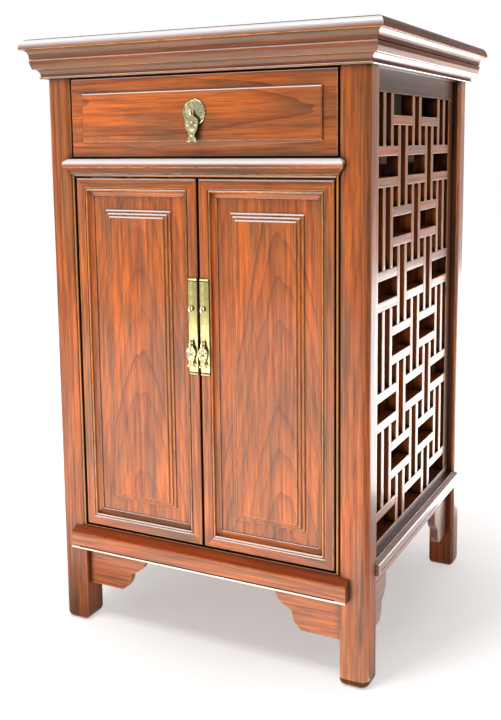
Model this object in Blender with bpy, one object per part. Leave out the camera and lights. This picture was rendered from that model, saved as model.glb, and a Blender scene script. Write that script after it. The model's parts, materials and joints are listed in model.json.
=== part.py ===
"""Lattice chest: a small stained hardwood cabinet with one drawer, two panelled doors and a lattice in
each side. Metres, +Z up, front towards -Y, origin on the floor under the middle of the carcass."""

import math

import bmesh
import bpy

for leftover in list(bpy.data.objects):
    bpy.data.objects.remove(leftover, do_unlink=True)

MM = 0.001

# Carcass
TOTAL_HEIGHT = 790 * MM
BODY_WIDTH = 446 * MM  # over the post faces
BODY_DEPTH = 420 * MM  # over the post faces
POST_SIZE = 36.5 * MM
POST_ROUND = 10 * MM  # radius of a post's outer corner
POST_FALL_WIDTH = 8 * MM  # a post's face falls away at its inner edge
POST_FALL_DEPTH = 4 * MM
FOOT_ROUND = 7 * MM
RAIL_DEPTH = 28 * MM
JOINT_GAP = 0.3 * MM  # between seated or glued faces

# Top and cornice
TOP_THICKNESS = 25 * MM
TOP_OVERHANG = 24 * MM
TOP_MEMBER_WIDTH = 68 * MM
TOP_BAND_HEIGHT = 13.5 * MM
TOP_EDGE_INSET = 9 * MM  # the upper edge is rounded over this far in
TOP_EDGE_DROP = 12 * MM  # and this far down
TOP_COVE_INSET = 6.5 * MM
TOP_PANEL_THICKNESS = 13 * MM
CORNICE_HEIGHT = 25 * MM
CORNICE_REACH = 15 * MM
CORNICE_FOOT_REACH = 4.5 * MM
CORNICE_BAND_HEIGHT = 12.7 * MM
CORNICE_LEAN = 2.7 * MM  # the band's lower edge lies this much further in
FILLET = 1.5 * MM  # small square step between two curves of a moulding

# Floating panels
TONGUE_LENGTH = 6 * MM
TONGUE_THICKNESS = 5 * MM
PANEL_PLAY = 0.8 * MM  # room for a panel to swell

# Waist and base rails
WAIST_DROP = 153 * MM  # from the top face down to the waist rail
WAIST_THICKNESS = 19 * MM
WAIST_REACH = 10.5 * MM
BASE_TOP = 141 * MM
BASE_THICKNESS = 31 * MM
WAIST_RETURN = 0.8  # share of the reach that a rounded end laps over a post
BASE_REACH = 12 * MM
BASE_LAP = 12.8 * MM  # of the nose over a post
BASE_SLOPE = 9 * MM  # fall of the nose's top towards its front
SIDE_BASE_REACH = 5 * MM
SIDE_BASE_LAP = 8 * MM
SIDE_BASE_RISE = 25 * MM  # a side's nose starts this far above the front's
SIDE_BASE_THICKNESS = 18 * MM
SIDE_BASE_SLOPE = 4 * MM
BASE_BEAD = 3 * MM
GROOVE = 1.5 * MM  # height and depth of the groove above the bead

# Sides
SIDE_RECESS = 10.5 * MM  # lattice, frieze and spandrels lie behind the post faces
SIDE_RAIL_THICKNESS = 18 * MM
FRIEZE_DROP = 27 * MM
SILL_HEIGHT = 9.5 * MM  # plain face between a side's nose and the lattice
LATTICE_BAR = 12 * MM  # height of a crossbar
LATTICE_UPRIGHT = 10 * MM  # width of an upright
LATTICE_STILE = 22 * MM  # width of the upright at each end
LATTICE_DEPTH = 16 * MM
LATTICE_OPENING = 25.5 * MM
LATTICE_TENON = 3 * MM

# Spandrels
SPANDREL_THICKNESS = 12 * MM
SPANDREL_DROP = 57 * MM
SPANDREL_FLAT = 53 * MM
SPANDREL_CUSP = (67 * MM, 33 * MM)  # along from the post, down from the rail
SPANDREL_STEP = 4 * MM
SPANDREL_LENGTH = 90 * MM
SPANDREL_TIP = 8 * MM
SIDE_SPANDREL_SHARE = 0.7  # length of a side spandrel as a share of a front one's

# Back and floor
BACK_INSET = 4 * MM
BACK_RAIL_DEPTH = 22 * MM
BACK_RAIL_HEIGHT = 28 * MM
BACK_PANEL_THICKNESS = 8 * MM
FLOOR_THICKNESS = 12 * MM

# Doors
DOOR_GAP = 2.2 * MM
MEETING_GAP = 3 * MM
DOOR_THICKNESS = 18 * MM
DOOR_SETBACK = 1 * MM
DOOR_FLAT = 12.5 * MM  # plain face of a stile or rail
DOOR_MOULD = 10.5 * MM  # moulded inner edge of a stile or rail
DOOR_EDGE_SOFT = 1.5 * MM
PANEL_DEPTH = 7.5 * MM  # margin of the panel behind the door's face
PANEL_MARGIN = 17.5 * MM
FIELD_STEPS = 3
FIELD_STEP = 4 * MM  # width of one step of the raised field
FIELD_RISE = 2.3 * MM  # height of one step
BEAD_WIDTH = 3.5 * MM
BEAD_DEPTH = 6 * MM
DOOR_STOP_GAP = 0.8 * MM
PIVOT_FROM_EDGE = 12 * MM
PIVOT_FROM_FACE = 8.5 * MM
PIN_RADIUS = 3 * MM
PIN_DEPTH = 8 * MM

# Drawer
DRAWER_GAP = 2 * MM
DRAWER_SETBACK = 2 * MM
DRAWER_FRONT_THICKNESS = 18 * MM
DRAWER_BORDER = 17.5 * MM
DRAWER_FIELD_RISE = 3.5 * MM
DRAWER_WALL = 10 * MM
DRAWER_REAR_ROOM = 26 * MM  # between the drawer's back and the back rail
DRAWER_BOX_ROOM = 20 * MM  # the box is this much lower than the drawer front
DRAWER_BOTTOM_THICKNESS = 5 * MM
DRAWER_BOTTOM_LIFT = 6 * MM
RUNNER_LEDGE = 13 * MM
RUNNER_THICKNESS = 12 * MM
RUNNER_GUIDE = 14 * MM
RUNNER_WIDTH = 12 * MM  # guide between drawer side and post
RUNNING_GAP = 1 * MM

# Brass
PLATE_WIDTH = 12.5 * MM
PLATE_HEIGHT = 122 * MM
PLATE_THICKNESS = 1.2 * MM
PLATE_RISE = 112 * MM  # of the plate's top over the middle of the door
PLATE_FROM_EDGE = 0.6 * MM
PLATE_EDGE_SOFT = 0.4 * MM
UPPER_EYE_DROP = 37.5 * MM  # below the plate's top
LOWER_EYE_DROP = 81 * MM
EYE_RADIUS = 3.6 * MM
EYE_WIRE = 0.9 * MM  # radius
EYE_SHANK = 0.6 * MM  # bare length between ring and plate
ROSETTE_RADIUS = 16 * MM
ROSETTE_LOBES = 8
ROSETTE_LOBE_DEPTH = 0.7 * MM
ROSETTE_RISE = 4 * MM  # over the middle of the drawer front
DRAWER_PENDANT = (18 * MM, 35.5 * MM)  # width, reach below the eye's centre
DOOR_PENDANT = (13 * MM, 30 * MM)
PENDANT_THICKNESS = 2.4 * MM
PENDANT_HOLE = 1.5 * MM  # radius
PENDANT_LUG = 2.9 * MM  # radius

# Places that follow from the sizes above
HALF_WIDTH = BODY_WIDTH / 2
HALF_DEPTH = BODY_DEPTH / 2
INNER_X = HALF_WIDTH - POST_SIZE
INNER_Y = HALF_DEPTH - POST_SIZE
TOP_UNDERSIDE = TOTAL_HEIGHT - TOP_THICKNESS
CARCASS_TOP = TOP_UNDERSIDE - JOINT_GAP
CORNICE_BOTTOM = TOP_UNDERSIDE - CORNICE_HEIGHT
WAIST_TOP = TOTAL_HEIGHT - WAIST_DROP
WAIST_BOTTOM = WAIST_TOP - WAIST_THICKNESS
BASE_BOTTOM = BASE_TOP - BASE_THICKNESS
LATTICE_TOP = CORNICE_BOTTOM - FRIEZE_DROP
SIDE_BASE_BOTTOM = BASE_BOTTOM + SIDE_BASE_RISE
SIDE_BASE_TOP = SIDE_BASE_BOTTOM + SIDE_BASE_THICKNESS
LATTICE_BOTTOM = SIDE_BASE_TOP + SILL_HEIGHT
DOOR_TOP = WAIST_BOTTOM - BEAD_WIDTH - DOOR_GAP
DOOR_BOTTOM = BASE_TOP + DOOR_GAP
PLATE_TOP = (DOOR_TOP + DOOR_BOTTOM) / 2 + PLATE_RISE
ROSETTE_HEIGHT = (WAIST_TOP + CORNICE_BOTTOM) / 2 + ROSETTE_RISE
DOOR_OUTER_X = INNER_X - BEAD_WIDTH - DOOR_GAP
DOOR_INNER_X = MEETING_GAP / 2
DOOR_FRONT_Y = -HALF_DEPTH + DOOR_SETBACK
DOOR_BACK_Y = DOOR_FRONT_Y + DOOR_THICKNESS
PIVOT_X = DOOR_OUTER_X - PIVOT_FROM_EDGE
PIVOT_Y = DOOR_FRONT_Y + PIVOT_FROM_FACE
RAIL_BACK_Y = -HALF_DEPTH + RAIL_DEPTH
BACK_OUTER_Y = HALF_DEPTH - BACK_INSET
BACK_INNER_Y = BACK_OUTER_Y - BACK_RAIL_DEPTH
SIDE_INNER_X = HALF_WIDTH - SIDE_RECESS - SIDE_RAIL_THICKNESS

# Each side of the carcass: turn about Z, middle of its post face, half its length over the posts
SIDES = {
    "front": (0.0, (0.0, -HALF_DEPTH), HALF_WIDTH),
    "right": (math.pi / 2, (HALF_WIDTH, 0.0), HALF_DEPTH),
    "rear": (math.pi, (0.0, HALF_DEPTH), HALF_WIDTH),
    "left": (-math.pi / 2, (-HALF_WIDTH, 0.0), HALF_DEPTH),
}


def new_collection(name):
    made = bpy.data.collections.new(name)
    bpy.context.scene.collection.children.link(made)
    return made


PARTS = new_collection("lattice_chest")
CUTTERS = new_collection("cutters")


def finish(name, colour, roughness, metallic):
    made = bpy.data.materials.new(name)
    made.use_nodes = True
    shader = made.node_tree.nodes["Principled BSDF"]
    shader.inputs["Base Color"].default_value = (*colour, 1.0)
    shader.inputs["Roughness"].default_value = roughness
    shader.inputs["Metallic"].default_value = metallic
    made.diffuse_color = (*colour, 1.0)
    return made


STAINED_WOOD = finish("stained_hardwood", (0.36, 0.11, 0.045), 0.35, 0.0)
PALE_WOOD = finish("unstained_drawer_wood", (0.55, 0.34, 0.17), 0.6, 0.0)
BRASS = finish("polished_brass", (0.80, 0.66, 0.30), 0.28, 1.0)


def place(name, bm, material, location=(0, 0, 0), rotation=(0, 0, 0), parent=None, collection=PARTS):
    """Turns a bmesh into a named object. location is in the world, also under a parent empty."""
    bmesh.ops.recalc_face_normals(bm, faces=bm.faces)
    mesh = bpy.data.meshes.new(name)
    bm.to_mesh(mesh)
    bm.free()
    return place_mesh(name, mesh, material, location, rotation, parent, collection)


def place_mesh(name, mesh, material, location=(0, 0, 0), rotation=(0, 0, 0), parent=None, collection=PARTS):
    mesh.shade_smooth()
    mesh.set_sharp_from_angle(angle=math.radians(35))
    if material and not mesh.materials:
        mesh.materials.append(material)
    made = bpy.data.objects.new(name, mesh)
    made.location = location
    made.rotation_euler = rotation
    if parent:
        made.parent = parent
        made.location = [place - base for place, base in zip(location, parent.location)]
    collection.objects.link(made)
    if collection is CUTTERS:
        made.hide_render = True
        made.display_type = "WIRE"
    return made


def pivot(name, location):
    made = bpy.data.objects.new(name, None)
    made.location = location
    made.empty_display_size = 20 * MM
    PARTS.objects.link(made)
    return made


def cut(target, operation, *others):
    for other in others:
        step = target.modifiers.new(f"{operation.lower()}_{other.name}", "BOOLEAN")
        step.operation = operation
        step.solver = "EXACT"
        step.object = other


def loft(rings):
    """A closed solid through rings of as many points each, with a flat face on each end."""
    bm = bmesh.new()
    rows = [[bm.verts.new(point) for point in ring] for ring in rings]
    count = len(rows[0])
    for low, high in zip(rows, rows[1:]):
        for i in range(count):
            j = (i + 1) % count
            bm.faces.new((low[i], low[j], high[j], high[i]))
    bm.faces.new(reversed(rows[0]))
    bm.faces.new(rows[-1])
    return bm


def moulding(section, half_at_face, mitre=0.0):
    """A straight length of moulding along X. section lists (outward, up) points; outward is -Y. The half
    length is half_at_face where outward is 0 and grows by mitre times outward."""
    rings = []
    for end in (-1, 1):
        rings.append([(end * (half_at_face + mitre * out), -out, up) for out, up in section])
    return loft(rings)


def box(size):
    bm = bmesh.new()
    bmesh.ops.create_cube(bm, size=1.0)
    bmesh.ops.scale(bm, vec=size, verts=bm.verts)
    return bm


def board(name, low, high, material=STAINED_WOOD, parent=None, collection=PARTS):
    """A plain board between two corners."""
    size = [b - a for a, b in zip(low, high)]
    middle = [(a + b) / 2 for a, b in zip(low, high)]
    return place(name, box(size), material, middle, parent=parent, collection=collection)


def cylinder(radius, length, sides=24):
    bm = bmesh.new()
    bmesh.ops.create_cone(
        bm, cap_ends=True, segments=sides, radius1=radius, radius2=radius, depth=length
    )
    return bm


def stepped_board(width, height, levels):
    """A rectangular board built up along Z. levels lists (inset from the outline, Z)."""
    rings = []
    for inset, level in levels:
        x = width / 2 - inset
        y = height / 2 - inset
        rings.append([(-x, -y, level), (x, -y, level), (x, y, level), (-x, y, level)])
    return loft(rings)


def arc(centre, radii, start, stop, steps):
    """Points of an ellipse's arc, angles in degrees from the first axis."""
    points = []
    for i in range(steps + 1):
        angle = math.radians(start + (stop - start) * i / steps)
        points.append((centre[0] + radii[0] * math.cos(angle), centre[1] + radii[1] * math.sin(angle)))
    return points


def cove(start, stop, steps=5):
    """A hollow quarter curve from its outer upper point in and down to its inner lower one."""
    centre = (start[0], stop[1])
    radii = (stop[0] - start[0], start[1] - stop[1])
    return arc(centre, radii, 90, 0, steps)


def side_moulding(name, side, section, half_at_face, mitre=0.0, collection=PARTS):
    turn, (x, y), _ = SIDES[side]
    bm = moulding(section, half_at_face, mitre)
    return place(name, bm, STAINED_WOOD, (x, y, 0), (0, 0, turn), collection=collection)


def inner_half(side):
    return SIDES[side][2] - POST_SIZE


# Top: a mitred frame with a floating panel, on a cornice of four mitred lengths

def build_top():
    outer = TOP_OVERHANG
    inner = TOP_OVERHANG - TOP_MEMBER_WIDTH
    band = TOTAL_HEIGHT - TOP_BAND_HEIGHT
    soft = FILLET / 2
    tongue_top = TOTAL_HEIGHT - (TOP_THICKNESS - TONGUE_THICKNESS) / 2
    groove_top = tongue_top + JOINT_GAP
    groove_bottom = tongue_top - TONGUE_THICKNESS - JOINT_GAP
    groove_end = inner + TONGUE_LENGTH + PANEL_PLAY
    cove_start = (outer - 2 * FILLET, band)
    cove_stop = (cove_start[0] - TOP_COVE_INSET, TOP_UNDERSIDE + FILLET)
    section = [(inner, TOTAL_HEIGHT)]
    round_centre = (outer - TOP_EDGE_INSET, TOTAL_HEIGHT - TOP_EDGE_DROP)
    section += arc(round_centre, (TOP_EDGE_INSET, TOP_EDGE_DROP), 90, 0, 6)
    section += [(outer, band + soft), (outer - soft, band)]
    section += cove(cove_start, cove_stop)
    section += [
        (cove_stop[0], TOP_UNDERSIDE),
        (inner, TOP_UNDERSIDE),
        (inner, groove_bottom),
        (groove_end, groove_bottom),
        (groove_end, groove_top),
        (inner, groove_top),
    ]
    for side, (_, _, half) in SIDES.items():
        side_moulding(f"top_frame_{side}", side, section, half - JOINT_GAP / 2, 1.0)

    tongue = TONGUE_LENGTH - PANEL_PLAY
    width = 2 * (HALF_WIDTH + inner + tongue)
    depth = 2 * (HALF_DEPTH + inner + tongue)
    shoulder = tongue + PANEL_PLAY
    levels = [
        (shoulder, TOTAL_HEIGHT - TOP_PANEL_THICKNESS),
        (shoulder, tongue_top - TONGUE_THICKNESS),
        (0, tongue_top - TONGUE_THICKNESS),
        (0, tongue_top),
        (shoulder, tongue_top),
        (shoulder, TOTAL_HEIGHT),
    ]
    place("top_panel", stepped_board(width, depth, levels), STAINED_WOOD)

    band = CARCASS_TOP - CORNICE_BAND_HEIGHT
    lower = CORNICE_REACH - CORNICE_LEAN
    cove_start = (lower - FILLET, band)
    cove_stop = (CORNICE_FOOT_REACH, CORNICE_BOTTOM + 2 * FILLET)
    section = [(JOINT_GAP, CARCASS_TOP), (CORNICE_REACH - FILLET, CARCASS_TOP)]
    section += [(CORNICE_REACH, CARCASS_TOP - FILLET)]
    section += [(CORNICE_REACH - CORNICE_LEAN / 4, CARCASS_TOP - CORNICE_BAND_HEIGHT / 2), (lower, band)]
    section += cove(cove_start, cove_stop)
    section += arc((CORNICE_FOOT_REACH, CORNICE_BOTTOM + FILLET), (FILLET, FILLET), 60, -90, 3)
    section += [(JOINT_GAP, CORNICE_BOTTOM)]
    for side, (_, _, half) in SIDES.items():
        side_moulding(f"cornice_{side}", side, section, half - JOINT_GAP / 2, 1.0)


# Posts: rounded on the outer corner, falling away at the two inner edges, one length down to the floor

def post_section(grow=0.0):
    """Plan of a post as (inwards from the side face, inwards from the front or rear face)."""
    size = POST_SIZE
    fall = (POST_FALL_WIDTH, POST_FALL_DEPTH)
    points = arc((POST_ROUND, POST_ROUND), (POST_ROUND + grow, POST_ROUND + grow), 180, 270, 6)
    points += arc((size - fall[0], fall[1]), (fall[0] + grow, fall[1] + grow), -90, 0, 4)
    points += [(size + grow, size + grow)]
    points += arc((fall[1], size - fall[0]), (fall[1] + grow, fall[0] + grow), 90, 180, 4)
    return points


def post_ring(x_sign, y_sign, level, shrink=1.0, grow=0.0):
    middle = POST_SIZE / 2
    ring = []
    for across, back in post_section(grow):
        across = middle + (across - middle) * shrink
        back = middle + (back - middle) * shrink
        ring.append((x_sign * (middle - across), y_sign * (middle - back), level))
    return ring


def build_posts():
    """The four posts, and for each a slightly fatter cutter that scribes the rails to it."""
    scribes = {}
    foot = [(0.0, FOOT_ROUND), (30.0, FOOT_ROUND), (60.0, FOOT_ROUND), (90.0, FOOT_ROUND)]
    for y_name, y_sign in (("front", -1), ("rear", 1)):
        for x_name, x_sign in (("left", -1), ("right", 1)):
            rings = []
            for angle, radius in foot:
                turn = math.radians(angle)
                level = radius * (1 - math.cos(turn))
                shrink = 1 - 2 * radius * (1 - math.sin(turn)) / POST_SIZE
                rings.append(post_ring(x_sign, y_sign, level, shrink))
            rings.append(post_ring(x_sign, y_sign, CARCASS_TOP))
            middle = POST_SIZE / 2
            where = (x_sign * (HALF_WIDTH - middle), y_sign * (HALF_DEPTH - middle), 0)
            place(f"post_{y_name}_{x_name}", loft(rings), STAINED_WOOD, where)
            rings = [post_ring(x_sign, y_sign, z, 1.0, JOINT_GAP) for z in (-POST_SIZE, TOTAL_HEIGHT)]
            scribe = place(f"scribe_{y_name}_{x_name}", loft(rings), None, where, collection=CUTTERS)
            scribes[y_name, x_name] = scribe
    return scribes


# Waist and base rails: each nose laps over the posts and is scribed to them

def waist_nose():
    """A rounded nose built up along Z, so that its ends are rounded like its front."""
    top = WAIST_TOP
    low = WAIST_BOTTOM
    tip = top - 0.4 * WAIST_THICKNESS
    profile = [(FILLET, low), (FILLET, low + 2 * FILLET)]
    profile += arc((0, tip), (WAIST_REACH, top - tip), -25, 75, 7)
    profile += [(0, top)]
    rings = []
    for out, up in profile:
        half = INNER_X + WAIST_RETURN * out
        back = POST_FALL_DEPTH
        rings.append([(-half, back, up), (half, back, up), (half, -out, up), (-half, -out, up)])
    return loft(rings)


def base_nose(reach, low, high, slope):
    edge = high - slope
    soft = FILLET / 2
    points = [(-POST_FALL_DEPTH, low), (-POST_FALL_DEPTH, high)]
    points += [(reach - soft, edge + soft), (reach, edge - soft)]
    points += [(reach, low + soft), (reach - soft, low)]
    return points


def base_rail(side, section, reach, lap, levels, scribes):
    """A rail with a sloping nose that laps over the posts, and a groove above its lower edge."""
    name = f"base_rail_{side}"
    half = inner_half(side)
    rail = side_moulding(name, side, section, half)
    nose = side_moulding(f"{name}_nose", side, base_nose(reach, *levels), half + lap, collection=CUTTERS)
    low = levels[0] + BASE_BEAD
    groove = rectangle(reach - GROOVE, reach + GROOVE, low, low + GROOVE)
    groove_cutter = side_moulding(f"{name}_groove", side, groove, half, collection=CUTTERS)
    cut(rail, "UNION", nose)
    cut(rail, "DIFFERENCE", *scribes, groove_cutter)
    return rail


def rectangle(out_low, out_high, low, high):
    return [(out_low, low), (out_low, high), (out_high, high), (out_high, low)]


def pivot_socket(name, rail, x_sign, mouth, direction):
    """A blind round hole in a rail for a door's pivot pin."""
    depth = PIN_DEPTH + JOINT_GAP
    reach = 2 * depth
    where = (x_sign * PIVOT_X, PIVOT_Y, mouth + direction * (depth - reach / 2))
    socket = place(name, cylinder(PIN_RADIUS + JOINT_GAP, reach), None, where, collection=CUTTERS)
    cut(rail, "DIFFERENCE", socket)


def build_rails(scribes):
    front_posts = [scribes["front", "left"], scribes["front", "right"]]
    section = rectangle(-RAIL_DEPTH, 0, WAIST_BOTTOM, WAIST_TOP)
    waist = side_moulding("waist_rail", "front", section, inner_half("front"))
    nose = place("waist_rail_nose", waist_nose(), None, (0, -HALF_DEPTH, 0), collection=CUTTERS)
    cut(waist, "UNION", nose)
    cut(waist, "DIFFERENCE", *front_posts)
    inside = -POST_FALL_DEPTH / 2
    section = rectangle(-RAIL_DEPTH, inside, BASE_BOTTOM, BASE_TOP)
    levels = (BASE_BOTTOM, BASE_TOP, BASE_SLOPE)
    base = base_rail("front", section, BASE_REACH, BASE_LAP, levels, front_posts)
    for x_name, x_sign in (("left", -1), ("right", 1)):
        pivot_socket(f"socket_top_{x_name}", waist, x_sign, WAIST_BOTTOM, 1)
        pivot_socket(f"socket_bottom_{x_name}", base, x_sign, BASE_TOP, -1)

    sill = [
        (-SIDE_RECESS - SIDE_RAIL_THICKNESS, BASE_BOTTOM),
        (-SIDE_RECESS - SIDE_RAIL_THICKNESS, LATTICE_BOTTOM),
        (-SIDE_RECESS, LATTICE_BOTTOM),
        (-SIDE_RECESS, SIDE_BASE_TOP),
        (inside, SIDE_BASE_TOP),
        (inside, SIDE_BASE_BOTTOM),
        (-SIDE_RECESS, SIDE_BASE_BOTTOM),
        (-SIDE_RECESS, BASE_BOTTOM),
    ]
    levels = (SIDE_BASE_BOTTOM, SIDE_BASE_TOP, SIDE_BASE_SLOPE)
    frieze = [
        (-SIDE_RECESS - SIDE_RAIL_THICKNESS, LATTICE_TOP),
        (-SIDE_RECESS - SIDE_RAIL_THICKNESS, CARCASS_TOP),
        (0, CARCASS_TOP),
        (0, CORNICE_BOTTOM),
        (-SIDE_RECESS, CORNICE_BOTTOM),
        (-SIDE_RECESS, LATTICE_TOP),
    ]
    for side in ("left", "right"):
        posts = [scribes["front", side], scribes["rear", side]]
        base_rail(side, sill, SIDE_BASE_REACH, SIDE_BASE_LAP, levels, posts)
        side_moulding(f"frieze_{side}", side, frieze, inner_half(side) - JOINT_GAP)

    half = inner_half("front") - JOINT_GAP
    section = rectangle(-RAIL_DEPTH, 0, CORNICE_BOTTOM, CARCASS_TOP)
    side_moulding("top_rail_front", "front", section, half)
    for name, low, high in (
        ("top_rail_rear", CORNICE_BOTTOM, CARCASS_TOP),
        ("back_rail", WAIST_TOP - BACK_RAIL_HEIGHT, WAIST_TOP),
        ("base_rail_rear", BASE_BOTTOM, BASE_TOP),
    ):
        section = rectangle(-BACK_INSET - BACK_RAIL_DEPTH, -BACK_INSET, low, high)
        side_moulding(name, "rear", section, half)


def build_beads():
    """Three round-nosed strips that line the door opening."""
    wide = BEAD_WIDTH - JOINT_GAP
    nose = BEAD_WIDTH / 2
    section = arc((0, -nose), (wide / 2, nose), 180, 0, 6)
    section += [(wide / 2, -BEAD_DEPTH), (-wide / 2, -BEAD_DEPTH)]
    low = BASE_TOP + JOINT_GAP
    high = WAIST_BOTTOM - JOINT_GAP
    for x_name, x_sign in (("left", -1), ("right", 1)):
        rings = [[(across, -out, z) for across, out in section] for z in (low, high)]
        where = (x_sign * (INNER_X - JOINT_GAP - wide / 2), -HALF_DEPTH, 0)
        place(f"door_bead_{x_name}", loft(rings), STAINED_WOOD, where)
    half = INNER_X - BEAD_WIDTH - JOINT_GAP
    rings = [[(x, -out, across) for across, out in section] for x in (-half, half)]
    place("door_bead_top", loft(rings), STAINED_WOOD, (0, -HALF_DEPTH, high - wide / 2))


# Lattice: short bars that stop against one another. Rows of wide openings come in two kinds that take
# turns down the panel, and the openings of each kind sit over the uprights of the other.

LATTICE_ROWS = 8
LATTICE_COLUMNS = 11
EVEN_ROW_SPANS = ((2, 5), (6, 9))
ODD_ROW_SPANS = ((0, 3), (4, 7), (8, 11))
EVEN_ROW_UPRIGHTS = (1, 2, 5, 6, 9, 10)
ODD_ROW_UPRIGHTS = (3, 4, 7, 8)


def lattice_rows(height):
    """For each row the top and bottom of its wide openings, measured down from the lattice's top."""
    bars = 2 * LATTICE_ROWS - 2
    spare = height - LATTICE_ROWS * LATTICE_OPENING - bars * LATTICE_BAR
    gap = spare / (LATTICE_ROWS - 1)
    step = LATTICE_OPENING + 2 * LATTICE_BAR + gap
    return [(row * step, row * step + LATTICE_OPENING) for row in range(LATTICE_ROWS)]


def lattice_bars(width, height):
    """Crossbars and uprights as (across low, across high, down low, down high)."""
    bar = LATTICE_BAR
    wide = LATTICE_UPRIGHT
    margin = LATTICE_STILE - wide
    pitch = (width - wide - 2 * margin) / LATTICE_COLUMNS
    column = [margin + i * pitch for i in range(LATTICE_COLUMNS + 1)]
    rows = lattice_rows(height)
    last = LATTICE_ROWS - 1
    crossbars = []
    uprights = [(0, LATTICE_STILE, 0, height), (width - LATTICE_STILE, width, 0, height)]
    for row, (top, bottom) in enumerate(rows):
        odd = row % 2
        for left, right in ODD_ROW_SPANS if odd else EVEN_ROW_SPANS:
            low = column[left] + wide - LATTICE_TENON
            high = column[right] + LATTICE_TENON
            if row > 0:
                crossbars.append((low, high, top - bar, top))
            if row < last:
                crossbars.append((low, high, bottom, bottom + bar))
        start = rows[row - 1][1] + bar - LATTICE_TENON if row > 0 else 0
        stop = rows[row + 1][0] - bar + LATTICE_TENON if row < last else height
        for i in ODD_ROW_UPRIGHTS if odd else EVEN_ROW_UPRIGHTS:
            uprights.append((column[i], column[i] + wide, start, stop))
    return crossbars, uprights


def bars_mesh(bars, width, height):
    """Separate bars in the YZ plane, about the lattice's middle."""
    bm = bmesh.new()
    for low, high, top, bottom in bars:
        made = bmesh.ops.create_cube(bm, size=1.0)["verts"]
        bmesh.ops.scale(bm, vec=(LATTICE_DEPTH, high - low, bottom - top), verts=made)
        middle = (0, (low + high - width) / 2, (height - top - bottom) / 2)
        bmesh.ops.translate(bm, vec=middle, verts=made)
    return bm


def build_lattices():
    width = 2 * (INNER_Y - JOINT_GAP)
    height = LATTICE_TOP - LATTICE_BOTTOM - 2 * JOINT_GAP
    crossbars, uprights = lattice_bars(width, height)
    across = place("lattice_crossbars", bars_mesh(crossbars, width, height), None, collection=CUTTERS)
    joined = place("lattice_uprights", bars_mesh(uprights, width, height), None, collection=CUTTERS)
    cut(joined, "UNION", across)
    bpy.context.view_layer.update()
    graph = bpy.context.evaluated_depsgraph_get()
    mesh = bpy.data.meshes.new_from_object(joined.evaluated_get(graph))
    mesh.name = "lattice"
    for helper in (joined, across):
        bpy.data.objects.remove(helper, do_unlink=True)
    bm = bmesh.new()
    bm.from_mesh(mesh)
    flat = math.radians(1)
    bmesh.ops.dissolve_limit(bm, angle_limit=flat, verts=bm.verts, edges=bm.edges)
    bm.to_mesh(mesh)
    bm.free()
    x = HALF_WIDTH - SIDE_RECESS - LATTICE_DEPTH / 2
    z = (LATTICE_TOP + LATTICE_BOTTOM) / 2
    place_mesh("lattice_left", mesh, STAINED_WOOD, (-x, 0, z))
    place_mesh("lattice_right", mesh, STAINED_WOOD, (x, 0, z))


# Spandrels: cusped brackets between a post and the rail above

def lobe(start, stop, steps=4):
    """A swelling curve between two points, steep at its upper end."""
    first = 25
    curve = arc((0, 0), (1, 1), first - 90, 0, steps)
    base, tip = curve[0], curve[-1]
    points = []
    for across, up in curve:
        share_across = (across - base[0]) / (tip[0] - base[0])
        share_up = (up - base[1]) / (tip[1] - base[1])
        x = start[0] + (stop[0] - start[0]) * share_across
        z = start[1] + (stop[1] - start[1]) * share_up
        points.append((x, z))
    return points


def build_spandrels():
    cusp = (SPANDREL_CUSP[0], -SPANDREL_CUSP[1])
    outline = [(0, 0), (0, -SPANDREL_DROP)]
    outline += lobe((SPANDREL_FLAT, -SPANDREL_DROP), cusp)
    outline += lobe((cusp[0] + SPANDREL_STEP, cusp[1] + SPANDREL_STEP / 2), (SPANDREL_LENGTH, -SPANDREL_TIP))
    outline += [(SPANDREL_LENGTH, 0)]
    ends = {"front": ("left", "right"), "right": ("front", "rear"), "left": ("rear", "front")}
    for side, (first, second) in ends.items():
        turn, (x, y), _ = SIDES[side]
        share = 1.0 if side == "front" else SIDE_SPANDREL_SHARE
        for end, sign in ((first, -1), (second, 1)):
            start = sign * (inner_half(side) - JOINT_GAP)
            rings = []
            for back in (SIDE_RECESS, SIDE_RECESS + SPANDREL_THICKNESS):
                rings.append([(start - sign * share * along, back, up) for along, up in outline])
            where = (x, y, BASE_BOTTOM - JOINT_GAP)
            place(f"spandrel_{side}_{end}", loft(rings), STAINED_WOOD, where, (0, 0, turn))


# Back panels, cupboard floor and drawer runners

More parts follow.
